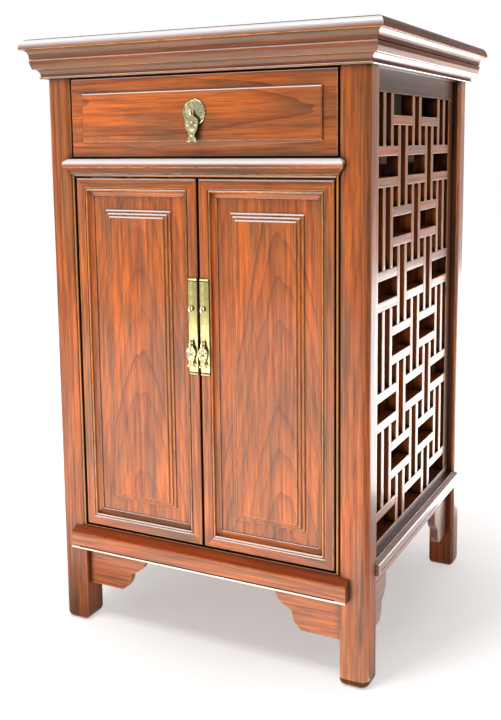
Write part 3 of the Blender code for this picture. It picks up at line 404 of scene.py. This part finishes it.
def dressed(node, soft, material, shine=2.2 * mm, arris_wear_and_highlight=1.0, steepest=1.1):
    """A member with its arrises eased; faces that seat on a neighbour keep their square edges.

    Faces that look up and are narrower than shine are marked as ledges for a painted highlight, and eased
    arrises as worn, a wear that also serves as a painted highlight.
    """
    bm = bmesh.new()
    bm.from_mesh(members[node].data)
    bmesh.ops.remove_doubles(bm, verts=bm.verts, dist=weld)
    bmesh.ops.dissolve_limit(bm, angle_limit=flat, verts=bm.verts[:], edges=bm.edges[:])
    low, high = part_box(node)
    near = []
    for other, skin in skins.items():
        other_low, other_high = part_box(other)
        apart = max(
            max(a - b for a, b in zip(low, other_high)),
            max(a - b for a, b in zip(other_low, high)),
        )
        if other != node and apart < beside:
            near.append(skin)
    seated = set()
    for face in bm.faces:
        middle = face.calc_center_median()
        if any(skin.find_nearest(middle, touching)[0] is not None for skin in near):
            seated.add(face)
    arrises = [
        edge
        for edge in bm.edges
        if len(edge.link_faces) == 2
        and edge.is_convex
        and edge.calc_face_angle() > square_edge
        and not seated.intersection(edge.link_faces)
    ]
    worn_and_lit = bm.faces.layers.float.new("arris")
    eased = bmesh.ops.bevel(
        bm,
        geom=arrises,
        offset=soft,
        offset_type="OFFSET",
        segments=2,
        profile=0.5,
        affect="EDGES",
        clamp_overlap=True,
    )
    for face in eased["faces"]:
        face[worn_and_lit] = arris_wear_and_highlight
    shelf = bm.faces.layers.float.new("ledge")
    for face in bm.faces:
        face.smooth = True
        longest = max(edge.calc_length() for edge in face.edges)
        if least_rise < face.normal.z < steepest and face.calc_area() / longest < shine:
            face[shelf] = 1.0
    mesh = bpy.data.meshes.new(f"{node}.dressed")
    bm.to_mesh(mesh)
    bm.free()
    mesh.set_sharp_from_angle(angle=crease)
    piece = put(f"{node}.dressed", mesh, material)
    piece.modifiers.new("even_faces", "WEIGHTED_NORMAL").keep_sharp = True
    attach(piece, members[node]["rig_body"])
    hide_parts(node)
    return piece


post_soft = 1.0 * mm
for post in ("post_front_left", "post_front_right", "post_rear_left", "post_rear_right"):
    dressed(post, post_soft, elm_post)


# Top and cornice
# A floating panel of elm boards in a mitred frame whose edge is moulded, over a cornice of two coves and a
# leaning band. All are planed with moulding planes, glued at the mitres and pinned from inside.

# Flat members keep an even lacquer. The front mouldings are browner and dull, with a grey painted shade in the
# downward hollows and a near-black painted shade along the crest. The sides' outer faces carry a deep red
# painted shade and are dull over a bright cove, and the top board shows the broad flames of a plank cut near the
# heart.
elm_crosswise = stained_elm("stained_elm_crosswise", "x")
elm_front_to_back = stained_elm("stained_elm_front_to_back", "y")
elm_dull_moulding = stained_elm("stained_elm_dull_moulding", "x", shade="#5A3A2E", shaded=0.5, polish=0.2)
elm_painted_shade_cove = stained_elm("stained_elm_painted_shade_cove", "x", shade="#5E5546", shaded=0.65, polish=0.2)
elm_painted_shade_crest = stained_elm("stained_elm_painted_shade_crest", "x", shade="#20140F", shaded=0.9)
elm_painted_shade_side_edge = stained_elm("stained_elm_painted_shade_side_edge", "y", shade="#4E1A12", shaded=0.75, polish=0.05)
elm_polished_cove = stained_elm("stained_elm_polished_cove", "y", polish=1.0)
elm_top_board = stained_elm("stained_elm_top_board", "x", heart=(1.2, 0.06), climb=0.03)

cut_snap = 0.01 * mm
turned_enough = 0.2


def picked_out(piece, finish, low, high, facing):
    """Gives a second finish to the faces between two heights that look a given way."""
    bm = bmesh.new()
    bm.from_mesh(piece.data)
    for level in (low, high):
        every = bm.verts[:] + bm.edges[:] + bm.faces[:]
        bmesh.ops.bisect_plane(bm, geom=every, dist=cut_snap, plane_co=(0, 0, level), plane_no=(0, 0, 1))
    bm.to_mesh(piece.data)
    bm.free()
    piece.data.materials.append(finish)
    for face in piece.data.polygons:
        if low < face.center.z < high and face.normal.dot(Vector(facing)) > turned_enough:
            face.material_index = len(piece.data.materials) - 1


frame_soft = 0.6 * mm
cornice_soft = 0.5 * mm
edge_shine = 5 * mm
edge_steepest = 0.8
floor_height = 0
cove_head = 776 * mm
crest_foot = 788.2 * mm
over_all = 791 * mm
to_front = (0, -1, 0)
to_floor = (0, 0, -1)
to_sky = (0, 0, 1)
top_edge = dressed("top_frame_front", frame_soft, elm_crosswise, edge_shine, steepest=edge_steepest)
picked_out(top_edge, elm_dull_moulding, floor_height, over_all, to_front)
# The crest takes a near-black painted shade, and the downward hollows a grey painted shade.
picked_out(top_edge, elm_painted_shade_crest, crest_foot, over_all, to_front)
picked_out(top_edge, elm_painted_shade_cove, floor_height, cove_head, to_floor)
cornice = dressed("cornice_front", cornice_soft, elm_dull_moulding)
# The cornice's downward hollows take the grey painted shade.
picked_out(cornice, elm_painted_shade_cove, floor_height, cove_head, to_floor)
dressed("top_frame_rear", frame_soft, elm_crosswise, 0)
dressed("cornice_rear", cornice_soft, elm_crosswise, 0)
for side, outward in (("left", (-1, 0, 0)), ("right", (1, 0, 0))):
    for moulding, soft in ((f"top_frame_{side}", frame_soft), (f"cornice_{side}", cornice_soft)):
        made = dressed(moulding, soft, elm_front_to_back, 0)
        # Outer faces take a deep red painted shade, over the cove's bright polish.
        picked_out(made, elm_painted_shade_side_edge, floor_height, over_all, outward)
        picked_out(made, elm_polished_cove, floor_height, cove_head, to_floor)
dressed("top_panel", frame_soft, elm_top_board)


# Rails
# Cross members tenoned into the posts: top rails, the waist rail with its rounded nose, the base rails with a
# sloped nose over a groove and bead, and the friezes above the lattices.

# The front base rail is red and dull on its slope, and its bead carries a pale painted highlight. The waist
# rail's nose carries a grey brown painted shade below, the side rails are bright with polish, and the friezes
# are dull with a dark painted shade for the cornice's shadow.
elm_red_slope = stained_elm("stained_elm_red_slope", "x", shade="#A63A12", shaded=0.5, polish=0.15)
elm_painted_highlight_bead = stained_elm("stained_elm_painted_highlight_bead", "x", shade="#E8DDD4", shaded=0.8)
elm_painted_shade_underside = stained_elm("stained_elm_painted_shade_underside", "x", shade="#463A36", shaded=0.6, polish=0.1)
elm_polished_rail = stained_elm("stained_elm_polished_rail", "y", polish=0.9)
elm_painted_shade_frieze = stained_elm("stained_elm_painted_shade_frieze", "y", shade="#3A322C", shaded=0.85, polish=0.1)

rail_soft = 0.8 * mm
for rail in ("top_rail_front", "top_rail_rear", "base_rail_rear", "back_rail"):
    dressed(rail, rail_soft, elm_crosswise)
base = dressed("base_rail_front", rail_soft, elm_crosswise, 0)
base_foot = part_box("base_rail_front")[0].z
slope_foot = base_foot + 15 * mm
bead_foot, bead_head = base_foot + 0.5 * mm, base_foot + 3.0 * mm
picked_out(base, elm_red_slope, slope_foot, over_all, to_sky)
# The bead takes a pale painted highlight.
picked_out(base, elm_painted_highlight_bead, bead_foot, bead_head, to_front)
nose_foot, nose_turn = 625 * mm, 629 * mm
waist = dressed("waist_rail", rail_soft, elm_crosswise, edge_shine)
# Below the nose, the face and underside take a grey brown painted shade.
picked_out(waist, elm_painted_shade_underside, floor_height, nose_foot, to_front)
picked_out(waist, elm_painted_shade_underside, floor_height, nose_turn, to_floor)
for rail in ("base_rail_left", "base_rail_right"):
    dressed(rail, rail_soft, elm_polished_rail)
# The friezes take a dark painted shade for the cornice's shadow.
for rail in ("frieze_left", "frieze_right"):
    dressed(rail, rail_soft, elm_painted_shade_frieze)


# Lattices
# Each side is filled by a lattice of short elm bars that stop against one another, so that long and square
# openings alternate. The bars are halved and glued, eased on every edge, and framed by a stile at each end.

# Uprights have the plain lacquer, and the stiles beside the posts carry a dark painted shade for the posts'
# shadow.
elm_upright = stained_elm("stained_elm_upright", "z")
elm_painted_shade_stile = stained_elm("stained_elm_painted_shade_stile", "z", shade="#2E1C15", shaded=0.7, polish=0.1)
of_upright, of_bar, of_stile = 0, 1, 2
bar = 12 * mm
upright = 10 * mm
stile = 22 * mm
bar_depth = 16 * mm
bar_soft = 0.9 * mm
# Arris wear on the bars, strong enough to serve also as a painted highlight.
bar_wear_and_highlight = 1.6
opening = 25.5 * mm
rows = 8
column_count = 12
butt = 0.05 * mm
grain_step = 0.618
even_crossbars = ((2, 5), (6, 9))
odd_crossbars = ((0, 3), (4, 7), (8, 11))
even_uprights = (1, 2, 5, 6, 9, 10)
odd_uprights = (3, 4, 7, 8)
for side in ("left", "right"):
    low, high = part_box(f"lattice_{side}")
    width = high.y - low.y
    height = high.z - low.z
    middle = (low.x + high.x) / 2
    margin = stile - upright
    pitch = (width - upright - 2 * margin) / (column_count - 1)
    columns = [low.y + margin + i * pitch for i in range(column_count)]
    gap = (height - rows * opening - 2 * (rows - 1) * bar) / (rows - 1)
    step = opening + 2 * bar + gap
    tops = [high.z - row * step for row in range(rows)]
    bars = [
        (low.y, low.y + stile, low.z, high.z, of_stile),
        (high.y - stile, high.y, low.z, high.z, of_stile),
    ]
    for row, top in enumerate(tops):
        for left, right in odd_crossbars if row % 2 else even_crossbars:
            start = columns[left] + upright + butt
            stop = columns[right] - butt
            if row > 0:
                bars.append((start, stop, top, top + bar, of_bar))
            if row < rows - 1:
                bars.append((start, stop, top - opening - bar, top - opening, of_bar))
        for column in odd_uprights if row % 2 else even_uprights:
            lower = tops[row + 1] + bar + butt if row < rows - 1 else low.z
            upper = tops[row - 1] - opening - bar - butt if row > 0 else high.z
            bars.append((columns[column], columns[column] + upright, lower, upper, of_upright))
    bm = bmesh.new()
    board = bm.faces.layers.float.new("board")
    worn_and_lit = bm.faces.layers.float.new("arris")
    for number, (y0, y1, z0, z1, kind) in enumerate(bars):
        where = Matrix.Translation((middle, (y0 + y1) / 2, (z0 + z1) / 2))
        size = Matrix.Diagonal((bar_depth, y1 - y0, z1 - z0, 1))
        corners = bmesh.ops.create_cube(bm, size=1, matrix=where @ size)["verts"]
        edges = {edge for corner in corners for edge in corner.link_edges}
        eased = bmesh.ops.bevel(
            bm,
            geom=list(edges),
            offset=bar_soft,
            segments=2,
            profile=0.5,
            affect="EDGES",
        )
        for face in {face for corner in eased["verts"] for face in corner.link_faces}:
            face[board] = (number * grain_step) % 1.0
            face.material_index = kind
            face.smooth = True
        # Eased arrises are marked for wear that also serves as a painted highlight.
        for face in eased["faces"]:
            face[worn_and_lit] = bar_wear_and_highlight
    mesh = bpy.data.meshes.new(f"lattice_{side}.bars")
    bm.to_mesh(mesh)
    bm.free()
    mesh.set_sharp_from_angle(angle=crease)
    # The stiles take a dark painted shade.
    lattice = put(f"lattice_{side}.bars", mesh, elm_upright, elm_front_to_back, elm_painted_shade_stile)
    lattice.modifiers.new("even_faces", "WEIGHTED_NORMAL").keep_sharp = True
    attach(lattice, "carcass")
    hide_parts(f"lattice_{side}")


# Spandrels
# Shaped brackets sawn from thin elm board fill the corners under the base rails, a long pair at the front and
# short pairs at the sides. They are glued up against rail and post.

spandrel_soft = 0.8 * mm
for spandrel in ("spandrel_front_left", "spandrel_front_right"):
    dressed(spandrel, spandrel_soft, elm_crosswise)
for spandrel in ("spandrel_left_front", "spandrel_left_rear", "spandrel_right_front", "spandrel_right_rear"):
    dressed(spandrel, spandrel_soft, elm_polished_rail)


# Back and inside
# Thin elm boards close the back in grooves of the frame, a board floors the cupboard, and runners of plain
# unstained wood carry the drawer.

def drawer_wood(name, grain):
    """Plain pale softwood, planed and left bare: soft brown rings, a dull surface, no lacquer."""
    material, tree = empty_material(name)
    ring_width, fibre_width, inner_shade_reach = 9 * mm, 1.5 * mm, 160 * mm
    place = add(tree, "TexCoord").outputs["Object"]
    spot = add(tree, "SeparateXYZ", {0: place}).outputs
    across, depth, along = (spot[axis] for axis in {"z": "XYZ", "x": "ZYX", "y": "ZXY"}[grain])
    chance = add(tree, "ObjectInfo").outputs["Random"]
    own = add(tree, "Math", {0: chance, 1: 23.0}, operation="MULTIPLY").outputs[0]
    shortened = add(tree, "Math", {0: along, 1: 0.07}, operation="MULTIPLY").outputs[0]
    fine = add(tree, "CombineXYZ", {0: across, 1: depth, 2: shortened}).outputs[0]
    ring = add(
        tree,
        "TexNoise",
        {"Vector": fine, "W": own, "Scale": 1 / ring_width, "Detail": 2.0},
        noise_dimensions="4D",
    ).outputs["Fac"]
    ring = add(tree, "MapRange", {"Value": ring, "From Min": 0.3, "From Max": 0.7}).outputs[0]
    fibre = add(
        tree,
        "TexNoise",
        {"Vector": fine, "W": own, "Scale": 1 / fibre_width, "Detail": 2.0},
        noise_dimensions="4D",
    ).outputs["Fac"]
    fibre = add(tree, "MapRange", {"Value": fibre, "From Min": 0.3, "From Max": 0.7}).outputs[0]
    colour = add(
        tree,
        "Mix",
        {0: ring, 6: linear("#B98F5E"), 7: linear("#D2AE7C")},
        data_type="RGBA",
    ).outputs[2]
    tone = add(
        tree,
        "Mix",
        {0: fibre, 6: linear("#D8D2CA"), 7: linear("#FFFFFF")},
        data_type="RGBA",
    ).outputs[2]
    colour = add(
        tree,
        "Mix",
        {0: 1.0, 6: colour, 7: tone},
        data_type="RGBA",
        blend_type="MULTIPLY",
    ).outputs[2]
    # Painted shade over the inside of the carcass and the drawer box.
    painted_inner_shade = add(tree, "AmbientOcclusion", {"Distance": inner_shade_reach}, samples=8).outputs["AO"]
    painted_inner_shade = add(
        tree,
        "MapRange",
        {"Value": painted_inner_shade, "From Min": 0.3, "From Max": 0.72, "To Min": 0.9, "To Max": 0.0},
    ).outputs[0]
    colour = add(tree, "Mix", {0: painted_inner_shade, 6: colour, 7: linear("#1E1712")}, data_type="RGBA").outputs[2]
    bump = add(tree, "Bump", {"Strength": 0.3, "Distance": 0.15 * mm, "Height": fibre}).outputs[0]
    rough = add(tree, "MapRange", {"Value": fibre, "To Min": 0.7, "To Max": 0.58}).outputs[0]
    bare = {"Base Color": colour, "Roughness": rough, "IOR": 1.5, "Normal": bump}
    add(tree, "OutputMaterial", {"Surface": add(tree, "BsdfPrincipled", bare).outputs[0]})
    return material


elm_back_board = stained_elm("stained_elm_back_board", "z", heart=(0.05, 0.32), climb=0.03)
bare_front_to_back = drawer_wood("bare_softwood_front_to_back", "y")
bare_crosswise = drawer_wood("bare_softwood_crosswise", "x")
board_soft = 0.6 * mm
dressed("back_panel_lower", board_soft, elm_back_board)
dressed("back_panel_upper", board_soft, elm_back_board)
dressed("cupboard_floor", board_soft, elm_crosswise)
dressed("drawer_runner_left", board_soft, bare_front_to_back)
dressed("drawer_runner_right", board_soft, bare_front_to_back)


# Door opening
# Three thin elm beads line the door opening, up both posts and under the waist rail. Each is a planed strip
# with a rounded front, glued in place, and it covers the gap round the doors.

strip_soft = 0.8 * mm
dressed("door_bead_left", strip_soft, elm_upright)
dressed("door_bead_right", strip_soft, elm_upright)
dressed("door_bead_top", strip_soft, elm_crosswise)


# Drawer
# A raised-field elm front on a box of bare softwood. A domed, lobed brass rosette is held to the front by the
# split shank of a ring eye, from which a flat cast pendant hangs as the pull.

elm_drawer_front = stained_elm("stained_elm_drawer_front", "x", heart=(0.70, -0.17), climb=0.05, ring=8 * mm)
drawer_front_soft = 0.8 * mm
dressed("drawer_front", drawer_front_soft, elm_drawer_front)
for node in ("drawer_side_left", "drawer_side_right"):
    dressed(node, board_soft, bare_front_to_back)
for node in ("drawer_back", "drawer_bottom"):
    dressed(node, board_soft, bare_crosswise)


def cast_brass(name, bright, dull, chased=0.0):
    """Pale yellow brass, filed and polished: bright on high spots, olive brown where polish never reaches."""
    material, tree = empty_material(name)
    cloud_width, crevice_reach, file_width, punch_pitch = 6 * mm, 5 * mm, 1.2 * mm, 3.4 * mm
    spot = add(tree, "TexCoord").outputs["Object"]
    cloud = add(tree, "TexNoise", {"Vector": spot, "Scale": 1 / cloud_width, "Detail": 4.0}).outputs["Fac"]
    cloud = add(tree, "MapRange", {"Value": cloud, "From Min": 0.35, "From Max": 0.68}).outputs[0]
    colour = add(
        tree,
        "Mix",
        {0: cloud, 6: linear(bright), 7: linear(dull)},
        data_type="RGBA",
    ).outputs[2]
    shut = add(tree, "AmbientOcclusion", {"Distance": crevice_reach}, samples=8).outputs["AO"]
    shut = add(
        tree,
        "MapRange",
        {"Value": shut, "From Min": 0.25, "From Max": 0.8, "To Min": 0.95, "To Max": 0.0},
    ).outputs[0]
    colour = add(tree, "Mix", {0: shut, 6: colour, 7: linear("#1E190C")}, data_type="RGBA").outputs[2]
    punch = add(tree, "TexVoronoi", {"Vector": spot, "Scale": 1 / punch_pitch}).outputs["Distance"]
    punch = add(
        tree,
        "MapRange",
        {"Value": punch, "From Min": 0.12, "From Max": 0.34, "To Min": chased, "To Max": 0.0},
    ).outputs[0]
    colour = add(tree, "Mix", {0: punch, 6: colour, 7: linear("#3A3218")}, data_type="RGBA").outputs[2]
    filed = add(tree, "TexNoise", {"Vector": spot, "Scale": 1 / file_width, "Detail": 2.0}).outputs["Fac"]
    relief = add(tree, "Math", {0: punch, 1: -3.0, 2: filed}, operation="MULTIPLY_ADD").outputs[0]
    bump = add(tree, "Bump", {"Strength": 0.25, "Distance": 0.15 * mm, "Height": relief}).outputs[0]
    rough = add(tree, "MapRange", {"Value": cloud, "To Min": 0.22, "To Max": 0.36}).outputs[0]
    metal = {"Base Color": colour, "Metallic": 1.0, "Roughness": rough, "Normal": bump}
    add(tree, "OutputMaterial", {"Surface": add(tree, "BsdfPrincipled", metal).outputs[0]})
    return material


# Sheet brass is filed flat and has dulled to olive, wire is polished brass painted almost white as a painted
# highlight, the cast pieces are grey yellow with dark punch marks, and tarnish is what is left in the scored
# lines and round the collars.
plate_brass = cast_brass("filed_sheet_brass", "#B9AD74", "#9A8F5E")
wire_brass_painted_highlight = cast_brass("polished_brass_wire_painted_highlight", "#F4EFD6", "#E2D9B0")
chased_brass = cast_brass("chased_cast_brass", "#B4AC86", "#8C8460", chased=1.0)
tarnish = cast_brass("tarnished_brass", "#3A3320", "#241F12")
of_metal, of_wire, of_tarnish = 0, 1, 2
brass_crease = math.radians(40)
upright_to_front = Matrix.Rotation(math.pi / 2, 4, "X")
upright_to_side = Matrix.Rotation(math.pi / 2, 4, "Y")


def turned(bm, outline, place, steps, closed=False, lobes=0, lobe_depth=0.0):
    """Spins an outline of radius and height about an axis, with lobes on its outer edge."""
    rings = []
    widest = max(radius for radius, _ in outline)
    for radius, rise in outline:
        ring = []
        for i in range(steps):
            angle = 2 * math.pi * i / steps
            reach = radius
            if lobes:
                reach -= lobe_depth * (1 - abs(math.cos(lobes * angle / 2))) * (radius / widest) ** 4
            ring.append(bm.verts.new(place @ Vector((reach * math.cos(angle), reach * math.sin(angle), rise))))
        rings.append(ring)
    pairs = list(zip(rings, rings[1:]))
    if closed:
        pairs.append((rings[-1], rings[0]))
    for one, two in pairs:
        for i in range(steps):
            j = (i + 1) % steps
            bm.faces.new((one[i], one[j], two[j], two[i]))
    if not closed:
        bm.faces.new(list(reversed(rings[0])))
        bm.faces.new(rings[-1])


eye_stand = 5.1 * mm
eye_radius = 3.6 * mm
wire_radius = 1.05 * mm
wire_steps = 14
collar_outline = [(0.2, 2.2), (0.95, 2.2), (1.2, 1.2), (2.2, 0.9), (2.9, 0.4), (3.0, -0.2), (0.2, -0.2)]


def ring_eye(bm, x, plate_y, z):
    """A wire ring that stands out from a plate on a shank with a small collar."""
    old = set(bm.faces)
    wire = []
    for i in range(wire_steps):
        angle = 2 * math.pi * i / wire_steps
        wire.append((eye_radius + wire_radius * math.cos(angle), wire_radius * math.sin(angle)))
    turned(bm, wire, Matrix.Translation((x, plate_y - eye_stand, z)) @ upright_to_side, 40, closed=True)
    ring = set(bm.faces) - old
    collar = [(radius * mm, rise * mm) for radius, rise in collar_outline]
    turned(bm, collar, Matrix.Translation((x, plate_y, z)) @ upright_to_front, 24)
    for face in set(bm.faces) - old:
        face.material_index = of_wire if face in ring else of_tarnish


def fitting(name, bm, node, metal):
    """Finishes a brass mesh and puts it in place of its node."""
    bmesh.ops.recalc_face_normals(bm, faces=bm.faces[:])
    for face in bm.faces:
        face.smooth = True
    mesh = bpy.data.meshes.new(name)
    bm.to_mesh(mesh)
    bm.free()
    mesh.set_sharp_from_angle(angle=brass_crease)
    piece = put(name, mesh, metal, wire_brass_painted_highlight, tarnish)
    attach(piece, members[node]["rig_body"])
    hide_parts(node)


rosette_height = 692.5 * mm
rosette_back = -211.8 * mm
rosette_face = -213 * mm
rosette_lobes, lobe_depth = 8, 0.7 * mm
bm = bmesh.new()
dome = [(0.3, 1.5), (3.0, 1.5), (3.6, 1.1), (9.0, 1.45), (12.0, 1.2), (13.0, 0.75), (13.8, 0.75)]
dome += [(14.4, 1.3), (15.2, 1.25), (15.9, 0.7), (16.0, 0.0), (0.3, 0.0)]
dome = [(radius * mm, rise * mm) for radius, rise in dome]
on_front = Matrix.Translation((0, rosette_back, rosette_height)) @ upright_to_front
turned(bm, dome, on_front, 96, lobes=rosette_lobes, lobe_depth=lobe_depth)
ring_eye(bm, 0, rosette_face, rosette_height)
fitting("drawer_pull_plate.rosette", bm, "drawer_pull_plate", chased_brass)

drop_soft = 0.45 * mm
drop_half = 1.2 * mm


def pendant(node, width, reach, x, y, z):
    """A cast drop whose front is chased in relief: a boss, two shoulder curls and beads along the foot."""
    drop = dressed(node, drop_soft, chased_brass)
    bm = bmesh.new()
    bm.from_mesh(drop.data)
    # Each boss: how far aside and down it is and how big, as shares of the drop, and its rise in millimetres.
    bosses = [(0, 0.52, 0.24, 0.9), (-0.29, 0.40, 0.13, 0.7), (0.29, 0.40, 0.13, 0.7), (0, 0.30, 0.11, 0.7)]
    bosses += [(0, 0.76, 0.12, 0.6), (-0.22, 0.94, 0.1, 0.6), (0.22, 0.94, 0.1, 0.6)]
    for aside, down, size, rise in bosses:
        radius = size * width
        boss = [(radius, -0.2 * mm), (radius, 0.1 * mm), (0.85 * radius, 0.5 * rise * mm)]
        boss += [(0.5 * radius, 0.87 * rise * mm), (0.08 * radius, rise * mm)]
        where = Vector((x + aside * width, y - drop_half, z - down * reach))
        turned(bm, boss, Matrix.Translation(where) @ upright_to_front, 20)
    bmesh.ops.recalc_face_normals(bm, faces=bm.faces[:])
    for face in bm.faces:
        face.smooth = True
    bm.to_mesh(drop.data)
    bm.free()
    drop.data.set_sharp_from_angle(angle=brass_crease)


pull_width, pull_reach = 18 * mm, 35.5 * mm
pendant("drawer_pendant", pull_width, pull_reach, 0, rosette_face - eye_stand, rosette_height)


# Doors
# Two doors of mitre-moulded stiles and rails hold raised panels with stepped fields. Each turns on wooden pins
# in the rails, and has a long brass plate with two ring eyes and a small cast pendant at the meeting stile.

# Each panel is sawn so near the heart that its rings show as tall flames, off the middle as in cut pairs.
panel_soft = 1.6 * mm
# Panels show less of the arris wear and its painted highlight.
panel_wear_and_highlight = 0.6
panel_ring = 8.5 * mm
stick_soft = 0.7 * mm
stick_shine = 1.6 * mm
for side, heart in (("left", -0.09), ("right", 0.11)):
    flame = stained_elm(f"stained_elm_{side}_door_panel", "z", heart=(heart, -0.25), climb=0.16, ring=panel_ring)
    dressed(f"door_{side}_panel", panel_soft, flame, arris_wear_and_highlight=panel_wear_and_highlight)
    for node in ("stile_meeting", "stile_pivot"):
        dressed(f"door_{side}_{node}", stick_soft, elm_upright)
    for node in ("rail_top", "rail_bottom"):
        dressed(f"door_{side}_{node}", stick_soft, elm_crosswise, stick_shine)

plate_soft = 0.4 * mm
plate_half = 6.25 * mm
plate_thick = 1.2 * mm
plate_length = 122 * mm
top = 489.75 * mm
bottom = top - plate_length
score_inset, score_half, score_depth = 3.2 * mm, 0.7 * mm, 0.35 * mm
scored = (2, 3, 5, 6)
eye_aside = 8.35 * mm
upper_eye, lower_eye = 452.25 * mm, 408.75 * mm
drop_width, drop_reach = 13 * mm, 30 * mm
for side, eye_x in (("left", -eye_aside), ("right", eye_aside)):
    bm = bmesh.new()
    left = eye_x - plate_half
    right = eye_x + plate_half
    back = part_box(f"door_{side}_plate")[1].y
    front = back - plate_thick
    stations = [(bottom, plate_soft), (bottom + plate_soft, 0)]
    for line in (bottom + score_inset, top - score_inset):
        stations += [(line - score_half, 0), (line, score_depth), (line + score_half, 0)]
    stations += [(top - plate_soft, 0), (top, plate_soft)]
    rings = []
    for z, sunk in stations:
        tucked = plate_soft if z in (bottom, top) else 0
        y = front + sunk
        outline = [
            (left + tucked, back),
            (left + tucked, max(y, front + plate_soft)),
            (left + tucked + plate_soft, y),
            (right - tucked - plate_soft, y),
            (right - tucked, max(y, front + plate_soft)),
            (right - tucked, back),
        ]
        rings.append([bm.verts.new((x, y, z)) for x, y in outline])
    for number, (one, two) in enumerate(zip(rings, rings[1:])):
        for i in range(len(one)):
            j = (i + 1) % len(one)
            face = bm.faces.new((one[i], one[j], two[j], two[i]))
            face.material_index = of_tarnish if number in scored else of_metal
    bm.faces.new(rings[0])
    bm.faces.new(rings[-1])
    ring_eye(bm, eye_x, front, upper_eye)
    ring_eye(bm, eye_x, front, lower_eye)
    fitting(f"door_{side}_plate.scored", bm, f"door_{side}_plate", plate_brass)
    pendant(f"door_{side}_pendant", drop_width, drop_reach, eye_x, front - eye_stand, lower_eye)
